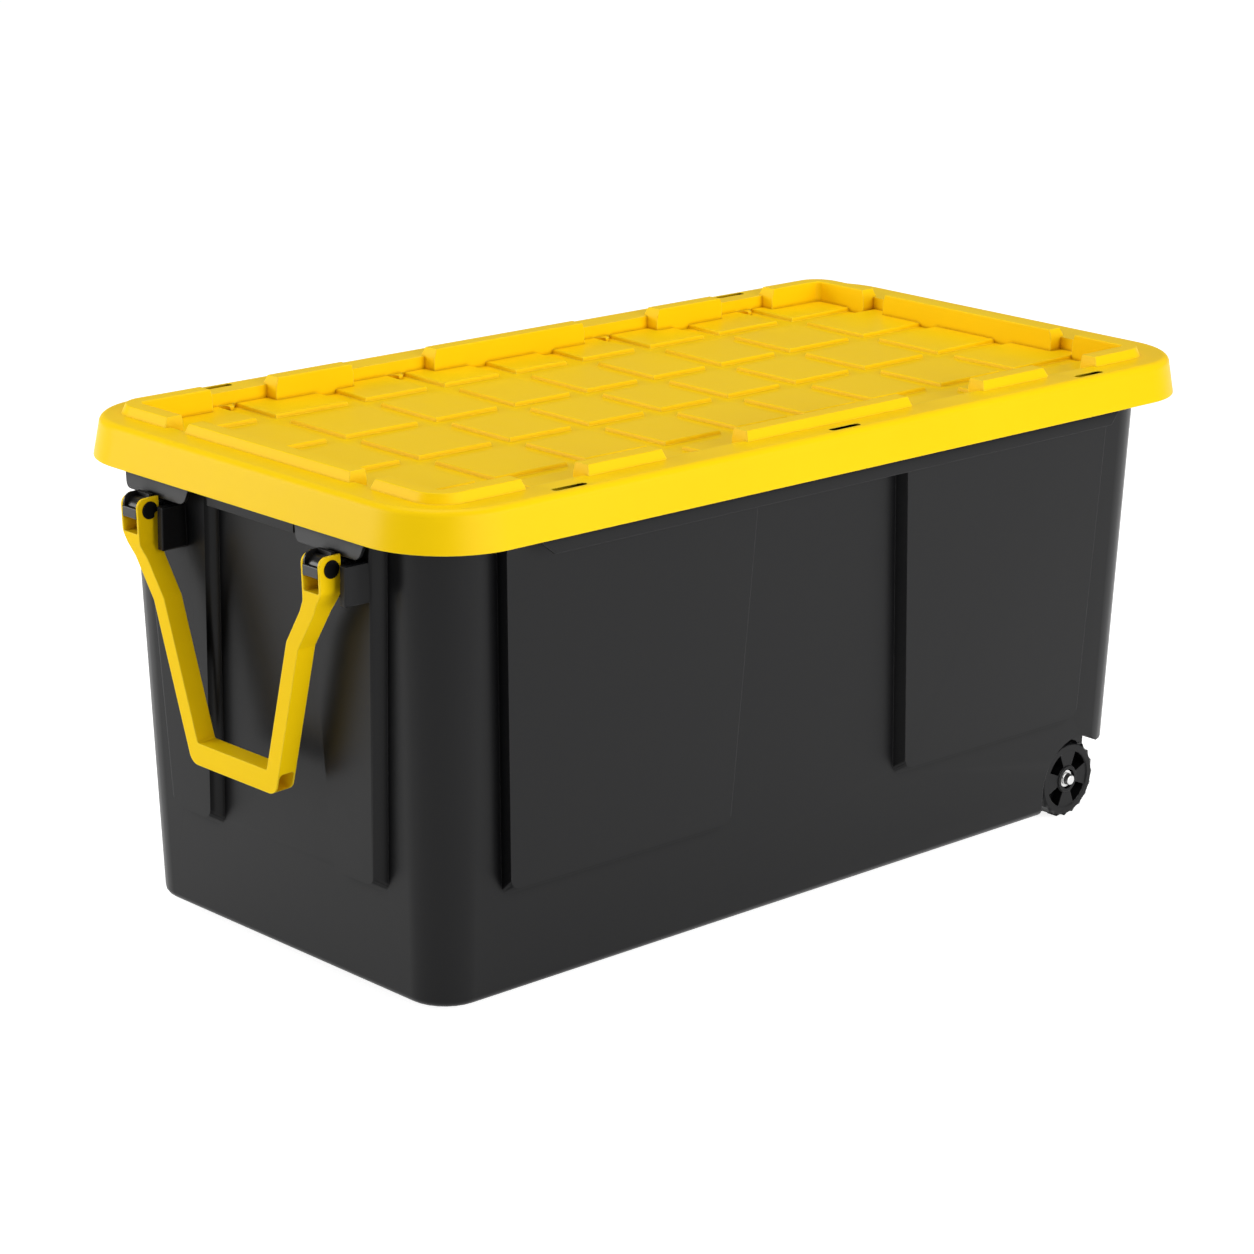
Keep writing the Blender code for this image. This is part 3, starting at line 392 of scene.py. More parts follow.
def soften(obj, width, segments):
    """Rounds the edges that are sharper than the softening angle."""
    modifier = obj.modifiers.new("Soften", "BEVEL")
    modifier.width = width
    modifier.segments = segments
    modifier.limit_method = "ANGLE"
    modifier.angle_limit = math.radians(SOFTEN_ANGLE)
    evaluate(obj)
    return obj


def wall_x(z):
    return BODY_LENGTH / 2 + DRAFT_X * (z - BODY_BOTTOM)


def wall_y(z):
    return BODY_WIDTH / 2 + DRAFT_Y * (z - BODY_BOTTOM)


def wall_corner(z):
    return BODY_CORNER + CORNER_GROWTH * (z - BODY_BOTTOM)


def plan(low_x, high_x, half_y, radius, at):
    """Outline with round corners from one x to another, drawn at a height."""
    outline = rounded_rectangle((high_x - low_x) / 2, half_y, radius)
    return [(x + (low_x + high_x) / 2, y, at) for x, y in outline]


def lid_plan(offset, at, corner=None, shortfall=0.0):
    """Outline of the lid as an offset of the tub's handle end and sides at the skirt's foot."""
    radius = wall_corner(SKIRT_BOTTOM) + offset if corner is None else corner
    half_x = wall_x(SKIRT_BOTTOM) + offset
    return plan(-half_x, half_x - shortfall, wall_y(SKIRT_BOTTOM) + offset, radius, at)


def recess_plan(offset, at, corner=None):
    return lid_plan(offset, at, corner, RECESS_SHORTFALL)


def skirt_offset(z):
    return SKIRT_STANDOFF - FLARE_SLOPE * max(0.0, z - SKIRT_BOTTOM)


def deck_edge_rings():
    """Rings of the lid's rounded upper edge, from the skirt up to the deck."""
    rings = []
    for i in range(FILLET_STEPS, -1, -1):
        angle = math.radians(90 * i / FILLET_STEPS)
        inset = DECK_EDGE * (1 - math.sin(angle))
        drop = DECK_EDGE * (1 - math.cos(angle))
        rings.append(lid_plan(skirt_offset(DECK_TOP) - inset, DECK_TOP - drop))
    return rings


def slot_centres():
    """(x, y, side) of the middle of each slot."""
    y = wall_y(SKIRT_BOTTOM) + SKIRT_STANDOFF - SLOT_INSET
    return [(place * BODY_LENGTH, side * y, side) for place in SLOT_PLACES for side in (-1, 1)]


def slot_cutters(low, high):
    radius = SLOT_WIDTH / 2
    reach = SLOT_LENGTH / 2 - radius
    cutters = []
    for x, y, _ in slot_centres():
        outline = arc((x + reach, y), radius, -90, 90, FILLET_STEPS)
        outline += arc((x - reach, y), radius, 90, 270, FILLET_STEPS)
        cutters.append(prism("slot", outline, "Z", low - 2 * SPARE, high + 2 * SPARE))
    return cutters


def slot_reliefs(low, high):
    """Room under the slots' thin edges, so that the dark rim shows through them."""
    outer, inner = SLOT_RELIEF
    reliefs = []
    for x, y, side in slot_centres():
        left = x - SLOT_LENGTH / 2 - outer
        right = x + SLOT_LENGTH / 2 + outer
        near = y + side * (SLOT_WIDTH / 2 + outer)
        far = y - side * (SLOT_WIDTH / 2 + inner)
        corners = [(left, near), (right, near), (right, far), (left, far)]
        reliefs.append(prism("relief", corners[::side], "Z", low, high))
    return reliefs


def groove(position, low, high, runs_in_x):
    """Groove between tiles with soft sides, widening in an arc where it meets the recess wall."""
    half_length = (high - low) / 2
    middle = (high + low) / 2
    profile = [(half, GROOVE_FLOOR + rise) for half, rise in GROOVE_PROFILE]
    profile.append((GROOVE_PROFILE[-1][0], TILE_TOP + MARGIN))
    rings = []
    for half_width, z in profile:
        flare = (half_length - GROOVE_FLARE, half_width + GROOVE_FLARE)
        quarter = arc(flare, GROOVE_FLARE, -90, 0, FLARE_STEPS)
        outline = quarter + [(-a, b) for a, b in quarter[::-1]]
        outline += [(-a, -b) for a, b in quarter] + [(a, -b) for a, b in quarter[::-1]]
        if runs_in_x:
            rings.append([(middle + a, position + b, z) for a, b in outline])
        else:
            rings.append([(position + b, middle + a, z) for a, b in outline])
    return loft("groove", rings)


def tray():
    """Tiled floor of the lid's recess."""
    edge = -RECESS_INSET + RECESS_WALL / 2
    plate = loft("tray", [recess_plan(edge, TRAY_BOTTOM), recess_plan(edge, TILE_TOP)])
    reach_x = wall_x(SKIRT_BOTTOM) - RECESS_INSET
    reach_y = wall_y(SKIRT_BOTTOM) - RECESS_INSET
    ends = (-reach_x, reach_x - RECESS_SHORTFALL)
    for side in (-1, 1):
        for share in COLUMN_GROOVES:
            cut(plate, groove(side * share * BODY_LENGTH, -reach_y, reach_y, False))
        for share in ROW_GROOVES:
            cut(plate, groove(side * share * BODY_WIDTH, *ends, True))
    return plate


def bar_gap(low, high, along_x, side):
    """Wedge that parts two stacking bars, wider at its top."""
    top = BAR_TOP + SPARE
    outline = [(low, TRAY_BOTTOM), (low, DECK_TOP), (low - BAR_END_SLOPE, top)]
    outline += [(high + BAR_END_SLOPE, top), (high, DECK_TOP), (high, TRAY_BOTTOM)]
    reach = (wall_y if along_x else wall_x)(SKIRT_BOTTOM)
    if not along_x and side > 0:
        reach -= RECESS_SHORTFALL
    near, far = sorted((side * (reach - 2 * BAR_WIDTH), side * (reach + BAR_WIDTH)))
    return prism("gap", outline, "Y" if along_x else "X", near, far)


def stacking_bars():
    """Band round the recess, parted into the bars that a second tote stacks between."""
    foot = -RECESS_INSET + RECESS_WALL / 2
    middle = DECK_TOP - LID_WALL / 2
    outside = [
        recess_plan(foot, GROOVE_FLOOR - TRAY_THICKNESS / 2),
        recess_plan(foot, middle - 2 * HAIR),
        recess_plan(0.0, middle, BAR_CORNER),
        recess_plan(0.0, DECK_TOP, BAR_CORNER),
    ]
    inside = [recess_plan(-BAR_WIDTH, TRAY_BOTTOM - SPARE, BAR_INNER_CORNER)]
    for i in range(FLARE_STEPS + 1):
        angle = math.radians(90 * i / FLARE_STEPS)
        inset = BAR_EDGE * (1 - math.cos(angle))
        z = BAR_TOP - BAR_EDGE * (1 - math.sin(angle))
        outer = -BAR_SLOPE - inset
        outside.append(recess_plan(outer, z, BAR_CORNER + outer))
        inside.append(recess_plan(-BAR_WIDTH + inset, z, BAR_INNER_CORNER + inset))
    inside.append(recess_plan(-BAR_WIDTH + BAR_EDGE, BAR_TOP + SPARE, BAR_INNER_CORNER + BAR_EDGE))
    band = cut(loft("band", outside), loft("inside", inside))
    gaps = [(True, -1, BODY_LENGTH, pair) for pair in NEAR_BAR_GAPS]
    gaps += [(True, 1, BODY_LENGTH, pair) for pair in FAR_BAR_GAPS]
    gaps += [(False, side, BODY_WIDTH, pair) for pair in END_BAR_GAPS for side in (-1, 1)]
    for along_x, side, length, pair in gaps:
        low, high = (length * share for share in pair)
        cut(band, bar_gap(low, high, along_x, side), bar_gap(-high, -low, along_x, side))
    return band


def sag(lid):
    """Lets the middle of the tray hang a little, as the thin tiled floor does."""
    reach_x = wall_x(SKIRT_BOTTOM) - BAR_WIDTH
    reach_y = wall_y(SKIRT_BOTTOM) - BAR_WIDTH
    for vertex in lid.data.vertices:
        x, y, z = vertex.co
        if z < TILE_TOP + HAIR and abs(x) < reach_x and abs(y) < reach_y:
            vertex.co.z -= TRAY_SAG * (1 - (x / reach_x) ** 2) * (1 - (y / reach_y) ** 2)


def make_lid():
    """Deck with a flared skirt, a tiled recess and the stacking bars."""
    rings = [
        lid_plan(SKIRT_STANDOFF - SKIRT_FOOT, SKIRT_BOTTOM),
        lid_plan(SKIRT_STANDOFF - SKIRT_FOOT / 4, SKIRT_BOTTOM + SKIRT_FOOT / 4),
        lid_plan(skirt_offset(SKIRT_BOTTOM + SKIRT_FOOT), SKIRT_BOTTOM + SKIRT_FOOT),
    ]
    lid = loft("lid", rings + deck_edge_rings())
    under = DECK_TOP - LID_WALL
    hollow = [lid_plan(skirt_offset(SKIRT_BOTTOM) - LID_WALL, SKIRT_BOTTOM - MARGIN)]
    hollow += [lid_plan(skirt_offset(z) - LID_WALL, z) for z in (SKIRT_BOTTOM, under)]
    cut(lid, loft("hollow", hollow))
    levels = (TRAY_BOTTOM, under + SPARE)
    unite(lid, loft("wall", [recess_plan(-RECESS_INSET + RECESS_WALL, z) for z in levels]))
    levels = (TRAY_BOTTOM - SPARE, DECK_TOP + SPARE)
    cut(lid, loft("recess", [recess_plan(-RECESS_INSET, z) for z in levels]))
    unite(lid, tray(), stacking_bars())
    cut(lid, *slot_cutters(under, DECK_TOP))
    cut(lid, *slot_reliefs(under - SPARE, DECK_TOP - SLOT_LIP))
    sag(lid)
    return lid


def handle_point(place):
    """(y, z) of a point of the handle's outline at the +Y fork."""
    return (FORK_CENTRE - place[0], PIVOT_Z - place[1])


def handle_frame():
    """Forks, arms and grip in one bent outline, as deep as the forks."""
    half = FORK_WIDTH / 2
    top = PIVOT_Z + FORK_TOP
    outer = [(FORK_CENTRE + half, top), (FORK_CENTRE + half, PIVOT_Z - FORK_OUTER_NECK)]
    outer += [handle_point(place) for place in (KNEE, GRIP_CORNER)]
    inner = [handle_point(place) for place in (GRIP_INNER, INNER_KNEE)]
    inner += [(FORK_CENTRE - half, PIVOT_Z - FORK_INNER_NECK), (FORK_CENTRE - half, top)]
    radii_outer = [0, HANDLE_FILLET, HANDLE_FILLET, HANDLE_FILLET]
    radii_inner = [HANDLE_FILLET / 4, HANDLE_FILLET, HANDLE_FILLET / 2, 0]
    corners = outer + [(-y, z) for y, z in outer[::-1]]
    corners += [(-y, z) for y, z in inner[::-1]] + inner
    radii = radii_outer + radii_outer[::-1] + radii_inner[::-1] + radii_inner
    reach = (PIVOT_X - FORK_FRONT - SPARE, PIVOT_X + FORK_BACK + SPARE)
    return prism("frame", filleted(corners, radii), "X", *reach)


def handle_side():
    """Side outline of the handle: forks with a round front corner, and thinner arms."""
    front, back = PIVOT_X - FORK_FRONT, PIVOT_X + FORK_BACK
    neck = PIVOT_Z - FORK_INNER_NECK
    foot = PIVOT_Z - GRIP_CORNER[1] - SPARE
    corners = [
        (PIVOT_X - ARM_FRONT, foot),
        (PIVOT_X - ARM_FRONT, neck - FORK_TAPER),
        (front, neck),
        (front, PIVOT_Z + FORK_TOP),
        (back, PIVOT_Z + FORK_TOP),
        (back, neck),
        (PIVOT_X + ARM_BACK, neck - FORK_TAPER),
        (PIVOT_X + ARM_BACK, foot),
    ]
    outline = filleted(corners, (0, 0, 0, FORK_CORNER, FORK_BACK_CORNER, 0, 0, 0))
    return prism("side", outline, "Y", -BODY_WIDTH / 2, BODY_WIDTH / 2)


def fork_gap(side):
    left = side * FORK_CENTRE - FORK_GAP / 2
    right = side * FORK_CENTRE + FORK_GAP / 2
    low, high = PIVOT_Z - FORK_FLOOR, PIVOT_Z + MARGIN
    corners = [(left, low), (right, low), (right, high), (left, high)]
    outline = filleted(corners, (FORK_GAP_FILLET, FORK_GAP_FILLET, 0, 0))
    reach = (PIVOT_X - FORK_FRONT - MARGIN, PIVOT_X + FORK_BACK + MARGIN)
    return prism("gap", outline, "X", *reach)


def pin_bore(side):
    """Cutter for the pin's hole through a fork and its bracket."""
    reach = (side * FORK_CENTRE - FORK_WIDTH, side * FORK_CENTRE + FORK_WIDTH)
    return round_bar("bore", (PIVOT_X, PIVOT_Z), PIN_RADIUS + BORE_GAP, *reach)


def grip_bore():
    """Square bore with round corners that makes the grip a tube, open at both sides."""
    low = PIVOT_Z - GRIP_CORNER[1] + GRIP_WALL
    high = PIVOT_Z - GRIP_INNER[1] - GRIP_WALL
    front = PIVOT_X - ARM_FRONT + GRIP_WALL
    back = PIVOT_X + ARM_BACK - GRIP_WALL
    corners = [(front, low), (back, low), (back, high), (front, high)]
    outline = filleted(corners, (GRIP_BORE_CORNER,) * 4)
    return prism("bore", outline, "Y", -FORK_CENTRE, FORK_CENTRE)


def make_handle():
    """Handle with rounded edges, tilted inwards about its pins as it hangs."""
    handle = soften(combine(handle_frame(), [handle_side()], "INTERSECT"), HANDLE_EDGE, 4)
    for side in (-1, 1):
        cut(handle, fork_gap(side), pin_bore(side))
    cut(handle, grip_bore())
    pivot = Matrix.Translation((PIVOT_X, 0.0, PIVOT_Z))
    tilt = Matrix.Rotation(math.radians(-HANDLE_TILT), 4, "Y")
    handle.data.transform(pivot @ tilt @ pivot.inverted())
    return handle


def make_bracket(side):
    """Bracket with the knuckle and toe in the fork's gap and a black hood over the gap's far side,
    partly standing in for its shade.
    """
    middle = side * FORK_CENTRE
    half = FORK_GAP / 2 - SEAT_GAP
    back = BLOCK_FRONT + POCKET_DEPTH - SEAT_GAP
    root = back - BRACKET_PLATE / 2
    toe = PIVOT_X - BRACKET_TOE
    front = PIVOT_X - HOOD_FRONT
    hood_back = PIVOT_X + HOOD_BACK
    bottom = PIVOT_Z - TOE_BOTTOM
    roof_bottom = PIVOT_Z + KNUCKLE_RADIUS - SPARE
    roof_top = PIVOT_Z + HOOD_TOP
    seat = (middle - POCKET_HALF + SEAT_GAP, middle + POCKET_HALF - SEAT_GAP)
    levels = (BLOCK_BOTTOM + BRACKET_FOOT, BLOCK_TOP - BRACKET_HEAD)
    bracket = block("bracket", (back - BRACKET_PLATE, back), seat, levels)
    corners = [
        (toe, bottom),
        (root, bottom),
        (root, PIVOT_Z + KNUCKLE_RADIUS / 2),
        (PIVOT_X, PIVOT_Z + KNUCKLE_RADIUS / 2),
        (PIVOT_X, PIVOT_Z + BRACKET_TOE_TOP),
        (toe, PIVOT_Z + BRACKET_TOE_TOP),
    ]
    outline = filleted(corners, (NECK_FILLET, 0, 0, 0, 0, NECK_FILLET / 2))
    neck = prism("neck", outline, "Y", middle - half, middle + half)
    corners = [
        (front, bottom),
        (root, bottom),
        (root, roof_bottom),
        (hood_back, roof_bottom),
        (hood_back, roof_top),
        (front, roof_top),
    ]
    outline = filleted(corners, (0, 0, 0, 0, 0, HOOD_CORNER))
    # Black sheet over the far ear's inner face, and a roof over the knuckle, standing in partly for
    # the shade in the gap
    shade_sheet = prism("shade_sheet", outline, "Y", middle + half - HOOD_WALL, middle + half)
    depth = (PIVOT_X + HOOD_WALL, hood_back)
    roof = block("roof", depth, (middle - half, middle + half), (roof_bottom, roof_top))
    ends = (middle - half + HOOD_WALL, middle + half - HOOD_WALL / 2)
    knuckle = round_bar("knuckle", (PIVOT_X, PIVOT_Z), KNUCKLE_RADIUS, *ends)
    unite(bracket, neck, knuckle, shade_sheet, roof)
    return soften(cut(bracket, pin_bore(side)), BRACKET_EDGE, 2)


def copy_of(name):
    """Welded copy of a CAD node's mesh, with its flat parts joined into single faces."""
    bm = bmesh.new()
    bm.from_mesh(frame["nodes"][name].data)
    bmesh.ops.remove_doubles(bm, verts=bm.verts, dist=WELD_DISTANCE)
    flat = math.radians(FLAT_ANGLE)
    bmesh.ops.dissolve_limit(bm, angle_limit=flat, verts=bm.verts, edges=bm.edges)
    return object_of(name, bm)


def tilt_flaps(tub):
    """Leans the two flaps above the hinges outwards, as the lid's skirt does."""
    for vertex in tub.data.vertices:
        x, y, z = vertex.co
        if FLAP_BOTTOM - HAIR < z < FLAP_TOP and x < FLAP_BACK and FLAP_NEAR < abs(y) < FLAP_FAR:
            vertex.co.x -= FLAP_LEAN * (FLAP_TOP - z)


def shift_blocks(tub):
    """Brings the hinge blocks forwards, widens their pockets and drops the far one's foot."""
    for vertex in tub.data.vertices:
        x, y, z = vertex.co
        off_middle = abs(y) - FORK_CENTRE
        level = BLOCK_BOTTOM - HAIR < z < BLOCK_TOP + HAIR
        if x < BLOCK_FRONT + BLOCK_REACH and abs(off_middle) < BLOCK_HALF and level:
            vertex.co.x -= BLOCK_SHIFT
        in_pocket = BLOCK_FRONT - BLOCK_REACH < x < BLOCK_FRONT + POCKET_LENGTH
        if in_pocket and level and abs(abs(off_middle) - POCKET_HALF) < POCKET_REACH:
            vertex.co.y += math.copysign(POCKET_GROWTH, off_middle * y)
        if abs(y - FORK_CENTRE) < BLOCK_HALF and abs(z - BLOCK_BOTTOM) < BLOCK_REACH:
            vertex.co.z -= FAR_BLOCK_DROP


def shift_panel_ends(tub):
    """Leans the side panels' ends towards the handle, with less slope on their end faces."""
    for vertex in tub.data.vertices:
        x, y, z = vertex.co
        if PANEL_END[0] < x < PANEL_END[1] and abs(y) > PANEL_WALL and z > PANEL_LOWEST:
            shift = PANEL_SHIFT * (z - PANEL_LOWEST)
            if abs(y) < wall_y(z) + PANEL_ROOT:
                shift -= PANEL_UNDERCUT
            vertex.co.x -= shift


def shrink_head(pin):
    for vertex in pin.data.vertices:
        x, z = vertex.co.x - PIVOT_X, vertex.co.z - PIVOT_Z
        if math.hypot(x, z) > PIN_SHANK:
            vertex.co.x = PIVOT_X + x * PIN_HEAD_SCALE
            vertex.co.z = PIVOT_Z + z * PIN_HEAD_SCALE


def notch(pin):
    """Takes the small bite out of the far pin's head."""
    place = (PIVOT_X + NOTCH_PLACE[0], PIVOT_Z + NOTCH_PLACE[1])
    cut(pin, round_bar("bite", place, NOTCH_RADIUS, 0.0, FORK_CENTRE))


def smooth(obj):
    """Smooth shading that keeps sharp edges, led by the larger faces."""
    obj.data.shade_smooth()
    obj.data.set_sharp_from_angle(angle=math.radians(SMOOTH_ANGLE))
    modifier = obj.modifiers.new("Normals", "WEIGHTED_NORMAL")
    modifier.keep_sharp = True
    modifier.weight = FACE_WEIGHT
    evaluate(obj)


def dress(obj, node, material):
    """Shows a piece in place of its CAD node, on the node's body."""
    smooth(obj)
    obj.name = node + "_shown"
    obj.data.name = obj.name
    obj.data.materials.clear()
    obj.data.materials.append(material)
    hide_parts(node)
    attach(obj, BODIES[node])


def make_camera():
    data = bpy.data.cameras.new("camera")
    data.lens = CAMERA_LENS
    data.sensor_width = CAMERA_SENSOR
    data.clip_end = CAMERA_REACH
    camera = bpy.data.objects.new("camera", data)
    scene.collection.objects.link(camera)
    turn = Matrix.Rotation(math.radians(CAMERA_AZIMUTH), 4, "Z")
    turn = turn @ Matrix.Rotation(math.radians(90 - CAMERA_ELEVATION), 4, "X")
    turn = turn @ Matrix.Rotation(math.radians(CAMERA_ROLL), 4, "Z")
    camera.matrix_world = Matrix.Translation(Vector(CAMERA_PLACE)) @ turn
    scene.camera = camera


class Tree:
    """A new material and short ways to add nodes to it."""

    def __init__(self, name):
        self.material = bpy.data.materials.new(name)
        self.material.use_nodes = True
        self.tree = self.material.node_tree
        self.tree.nodes.clear()
        self.output = self.add("ShaderNodeOutputMaterial")

    def add(self, kind, values=None, **settings):
        node = self.tree.nodes.new(kind)
        for key, value in settings.items():
            setattr(node, key, value)
        for key, value in (values or {}).items():
            node.inputs[key].default_value = value
        return node

    def link(self, source, target):
        self.tree.links.new(source, target)

    def noise(self, place, scale, detail):
        node = self.add("ShaderNodeTexNoise", {"Scale": scale, "Detail": detail, "Roughness": 0.5})
        self.link(place, node.inputs["Vector"])
        return node.outputs["Fac"]

    def spread(self, source, low, high, start=0.0, end=1.0):
        """Maps a value onto a range."""
        values = {"From Min": start, "From Max": end, "To Min": low, "To Max": high}
        node = self.add("ShaderNodeMapRange", values)
        self.link(source, node.inputs["Value"])
        return node.outputs["Result"]

    def maths(self, operation, first, second, clamp=False):
        node = self.add("ShaderNodeMath", operation=operation, use_clamp=clamp)
        for socket, value in zip(node.inputs, (first, second)):
            if isinstance(value, (int, float)):
                socket.default_value = value
            else:
                self.link(value, socket)
        return node.outputs["Value"]

    def weigh(self, first, share, second, other_share):
        """Sum of two values, each times its share."""
        scaled = self.maths("MULTIPLY", first, share)
        return self.maths("ADD", scaled, self.maths("MULTIPLY", second, other_share))

    def blend(self, factor, first, second):
        node = self.add("ShaderNodeMix", data_type="RGBA")
        sockets = [node.inputs["Factor"], *[s for s in node.inputs if s.type == "RGBA"]]
        for socket, value in zip(sockets, (factor, first, second)):
            if isinstance(value, (int, float, tuple)):
                socket.default_value = value
            else:
                self.link(value, socket)
        return [s for s in node.outputs if s.type == "RGBA"][0]


def edge_mask(tree, rounded):
    """1 on edges, from how far the rounded normal turns from the plain one."""
    geometry = tree.add("ShaderNodeNewGeometry")
    dot = tree.add("ShaderNodeVectorMath", operation="DOT_PRODUCT")
    tree.link(rounded.outputs["Normal"], dot.inputs[0])
    tree.link(geometry.outputs["Normal"], dot.inputs[1])
    return tree.spread(dot.outputs["Value"], 1.0, 0.0, *EDGE_FADE)


def plastic(name, light, dark, edge_highlight_colour, roughness, specular, grain, edge_highlight_strength, edge, hollow, reach):
    """Moulded plastic: fine grain, slow colour and gloss variation, a painted highlight on open
    edges, painted shade in hollows.
    """
    tree = Tree(name)
    place = tree.add("ShaderNodeTexCoord").outputs["Object"]
    shader = tree.add("ShaderNodeBsdfPrincipled")
    flow = tree.noise(place, FLOW_SCALE, 3.0)
    mottle = tree.noise(place, MOTTLE_SCALE, 3.0)
    shade = tree.weigh(tree.spread(flow, 0.0, 1.0, 0.3, 0.7), 0.7, mottle, 0.3)
    body = tree.blend(shade, dark, light)
    rounded = tree.add("ShaderNodeBevel", {"Radius": edge}, samples=BEVEL_SAMPLES)
    sky = tree.add("ShaderNodeAmbientOcclusion", {"Distance": reach}, samples=SKY_SAMPLES)
    open_sky = sky.outputs["AO"]
    # Painted shade: the hollow colour is blended in where little open sky is found, in grooves,
    # creases and recesses
    body = tree.blend(tree.spread(open_sky, HOLLOW_SHADE_SHARE, 0.0, *HOLLOW_SHADE_FADE), body, hollow)
    # Painted highlight: a paler colour on edges that face open space, standing in for light caught by
    # their rounding
    open_edge_highlight = tree.spread(open_sky, 0.0, edge_highlight_strength, *EDGE_HIGHLIGHT_FADE)
    body = tree.blend(tree.maths("MULTIPLY", edge_mask(tree, rounded), open_edge_highlight), body, edge_highlight_colour)
    tree.link(body, shader.inputs["Base Color"])
    gleam = tree.spread(open_sky, 0.0, specular, *GLOSS_FADE)
    tree.link(gleam, shader.inputs["Specular IOR Level"])
    uneven = tree.weigh(flow, 0.10, mottle, 0.06)
    tree.link(tree.maths("ADD", uneven, roughness - 0.08), shader.inputs["Roughness"])
    fine = tree.noise(place, GRAIN_SCALE, 2.0)
    waves = tree.noise(place, WAVE_SCALE, 2.0)
    bump = tree.add("ShaderNodeBump", {"Strength": 0.5, "Distance": 1.0})
    tree.link(tree.weigh(fine, grain, waves, WAVINESS), bump.inputs["Height"])
    tree.link(rounded.outputs["Normal"], bump.inputs["Normal"])
    tree.link(bump.outputs["Normal"], shader.inputs["Normal"])
    tree.link(shader.outputs["BSDF"], tree.output.inputs["Surface"])
    return tree.material


def steel(name):
    """Zinc-plated steel with fine turned lines and faint stains."""
    tree = Tree(name)
    place = tree.add("ShaderNodeTexCoord").outputs["Object"]
    shader = tree.add("ShaderNodeBsdfPrincipled", {"Metallic": 1.0})
    stain = tree.noise(place, 220.0, 3.0)
    body = tree.blend(stain, (0.62, 0.62, 0.61, 1.0), (0.80, 0.80, 0.80, 1.0))
    tree.link(body, shader.inputs["Base Color"])
    stretch = tree.add("ShaderNodeMapping", {"Scale": (4.0, 0.2, 4.0)})
    tree.link(place, stretch.inputs["Vector"])
    lines = tree.noise(stretch.outputs["Vector"], 900.0, 2.0)
    tree.link(tree.spread(lines, 0.22, 0.40), shader.inputs["Roughness"])
    bump = tree.add("ShaderNodeBump", {"Strength": 0.3, "Distance": 0.00005})
    tree.link(lines, bump.inputs["Height"])
    tree.link(bump.outputs["Normal"], shader.inputs["Normal"])
    tree.link(shader.outputs["BSDF"], tree.output.inputs["Surface"])
    return tree.material


def floor_material():
    """Pale floor that shows white to the camera and keeps the tote's shadow."""
    tree = Tree("floor")
    place = tree.add("ShaderNodeTexCoord").outputs["Object"]
    cloud = tree.noise(place, 3.0, 3.0)
    body = tree.blend(cloud, (0.59, 0.59, 0.59, 1.0), (0.61, 0.61, 0.61, 1.0))
    base = tree.add("ShaderNodeBsdfDiffuse")
    tree.link(body, base.inputs["Color"])
    glow = tree.add("ShaderNodeEmission", {"Strength": FLOOR_GLOW})
    path = tree.add("ShaderNodeLightPath")
    seen = tree.maths("ADD", path.outputs["Is Camera Ray"], path.outputs["Is Glossy Ray"], True)
    seen = tree.maths("ADD", seen, path.outputs["Is Transmission Ray"], True)
    black = tree.add("ShaderNodeEmission", {"Strength": 0.0})
    extra = tree.add("ShaderNodeMixShader")
    tree.link(seen, extra.inputs["Fac"])
    tree.link(black.outputs[0], extra.inputs[1])
    tree.link(glow.outputs[0], extra.inputs[2])
    total = tree.add("ShaderNodeAddShader")
    tree.link(base.outputs[0], total.inputs[0])
    tree.link(extra.outputs[0], total.inputs[1])
    tree.link(total.outputs[0], tree.output.inputs["Surface"])
    return tree.material


def make_floor():
    mesh = bpy.data.meshes.new("floor")
    bm = bmesh.new()
    bmesh.ops.create_circle(bm, cap_ends=True, segments=FLOOR_STEPS, radius=FLOOR_RADIUS)
    bm.to_mesh(mesh)
    bm.free()
    floor = bpy.data.objects.new("floor", mesh)
    floor.location = (0, 0, -FLOOR_DROP)
    floor.data.materials.append(floor_material())
    scene.collection.objects.link(floor)


def make_world():
    world = bpy.data.worlds.new("studio")
    scene.world = world
    world.use_nodes = True
    background = world.node_tree.nodes["Background"]
    background.inputs["Color"].default_value = (1.0, 1.0, 1.0, 1.0)
    background.inputs["Strength"].default_value = WORLD_LIGHT


def make_lamp(name, place, aim, size, power):
    data = bpy.data.lights.new(name, "AREA")
    data.shape = "RECTANGLE"
    data.size, data.size_y = size
    data.energy = power
    lamp = bpy.data.objects.new(name, data)
    lamp.location = place
    lamp.rotation_euler = (Vector(aim) - Vector(place)).to_track_quat("-Z", "Y").to_euler()
    scene.collection.objects.link(lamp)


make_camera()
make_world()
make_floor()
for lamp in LAMPS:
    make_lamp(*lamp)
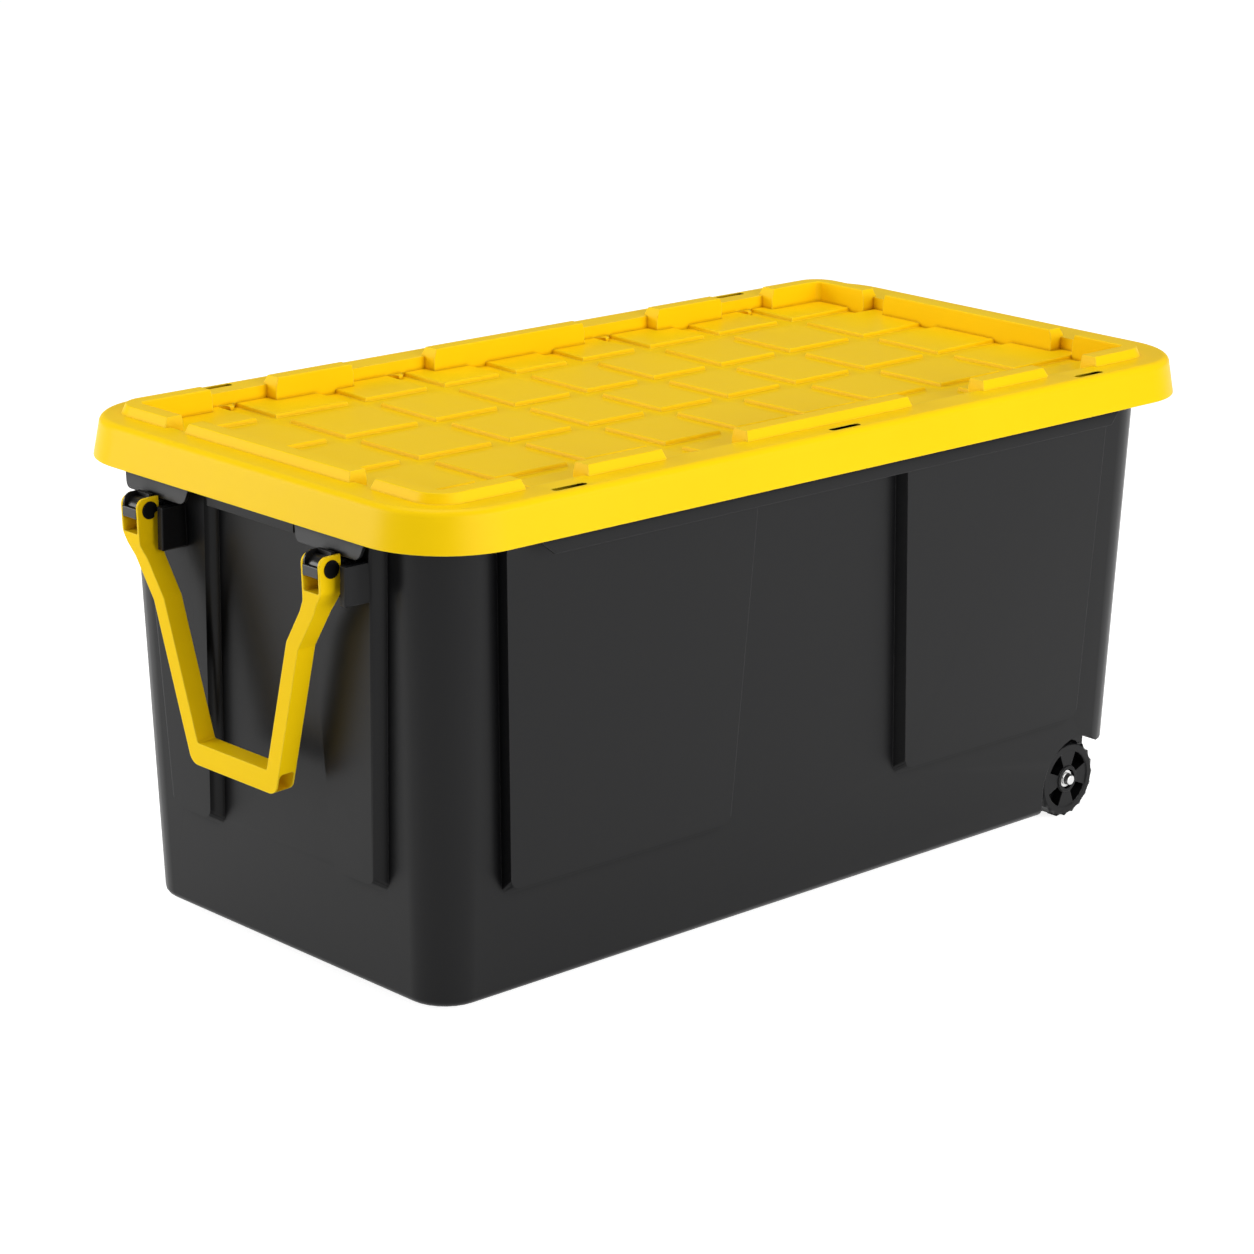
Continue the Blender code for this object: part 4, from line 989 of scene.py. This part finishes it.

# In each plastic below, the paler edge colour is a painted highlight and the hollow colour is painted
# shade in grooves and recesses
YELLOW = plastic(
    "yellow_plastic",
    light=(0.965, 0.640, 0.0030, 1.0),
    dark=(0.940, 0.605, 0.0020, 1.0),
    edge_highlight_colour=(1.000, 0.800, 0.0700, 1.0),
    roughness=0.36,
    specular=0.08,
    grain=0.000015,
    edge_highlight_strength=0.95,
    edge=0.0014,
    hollow=(0.600, 0.270, 0.0004, 1.0),
    reach=0.005,
)
BLACK = plastic(
    "black_plastic",
    light=(0.0060, 0.0060, 0.0064, 1.0),
    dark=(0.0046, 0.0046, 0.0052, 1.0),
    edge_highlight_colour=(0.0750, 0.0750, 0.0770, 1.0),
    roughness=0.33,
    specular=0.17,
    grain=0.00003,
    edge_highlight_strength=0.55,
    edge=0.0010,
    hollow=(0.0010, 0.0010, 0.0012, 1.0),
    reach=0.012,
)
GLOSS = plastic(
    "black_gloss_plastic",
    light=(0.0075, 0.0075, 0.0080, 1.0),
    dark=(0.0055, 0.0055, 0.0060, 1.0),
    edge_highlight_colour=(0.0300, 0.0300, 0.0310, 1.0),
    roughness=0.30,
    specular=0.42,
    grain=0.00001,
    edge_highlight_strength=0.12,
    edge=0.0005,
    hollow=(0.0020, 0.0020, 0.0022, 1.0),
    reach=0.004,
)
PIN = plastic(
    "pin_plastic",
    light=(0.0050, 0.0050, 0.0052, 1.0),
    dark=(0.0040, 0.0040, 0.0042, 1.0),
    edge_highlight_colour=(0.0450, 0.0450, 0.0460, 1.0),
    roughness=0.50,
    specular=0.06,
    grain=0.00001,
    edge_highlight_strength=0.60,
    edge=0.0006,
    hollow=(0.0020, 0.0020, 0.0022, 1.0),
    reach=0.004,
)
STEEL = steel("steel")

BODIES = {
    node: body
    for body, nodes in frame["record"]["behaviour"]["bodies"].items()
    for node in nodes
}
# Nodes shown as copies, with their material and slot, and what changes some of the copies
COPIES = (
    ("tub", BLACK, "black_plastic"),
    ("hinge_pin_near", PIN, "black_gloss_plastic"),
    ("hinge_pin_far", PIN, "black_gloss_plastic"),
    ("wheel_near", BLACK, "black_plastic"),
    ("wheel_far", BLACK, "black_plastic"),
    ("axle", STEEL, "steel"),
    ("washer_near", STEEL, "steel"),
    ("washer_far", STEEL, "steel"),
    ("axle_nut_near", STEEL, "steel"),
    ("axle_nut_far", STEEL, "steel"),
)
CHANGES = {
    "tub": (tilt_flaps, shift_blocks, shift_panel_ends),
    "hinge_pin_near": (shrink_head,),
    "hinge_pin_far": (shrink_head, notch),
}

dress(make_lid(), "lid", YELLOW)
dress(make_handle(), "handle", YELLOW)
dress(make_bracket(-1), "hinge_bracket_near", GLOSS)
dress(make_bracket(1), "hinge_bracket_far", GLOSS)
for name, material, slot in COPIES:
    piece = copy_of(name)
    for change in CHANGES.get(name, ()):
        change(piece)
    dress(piece, name, material)
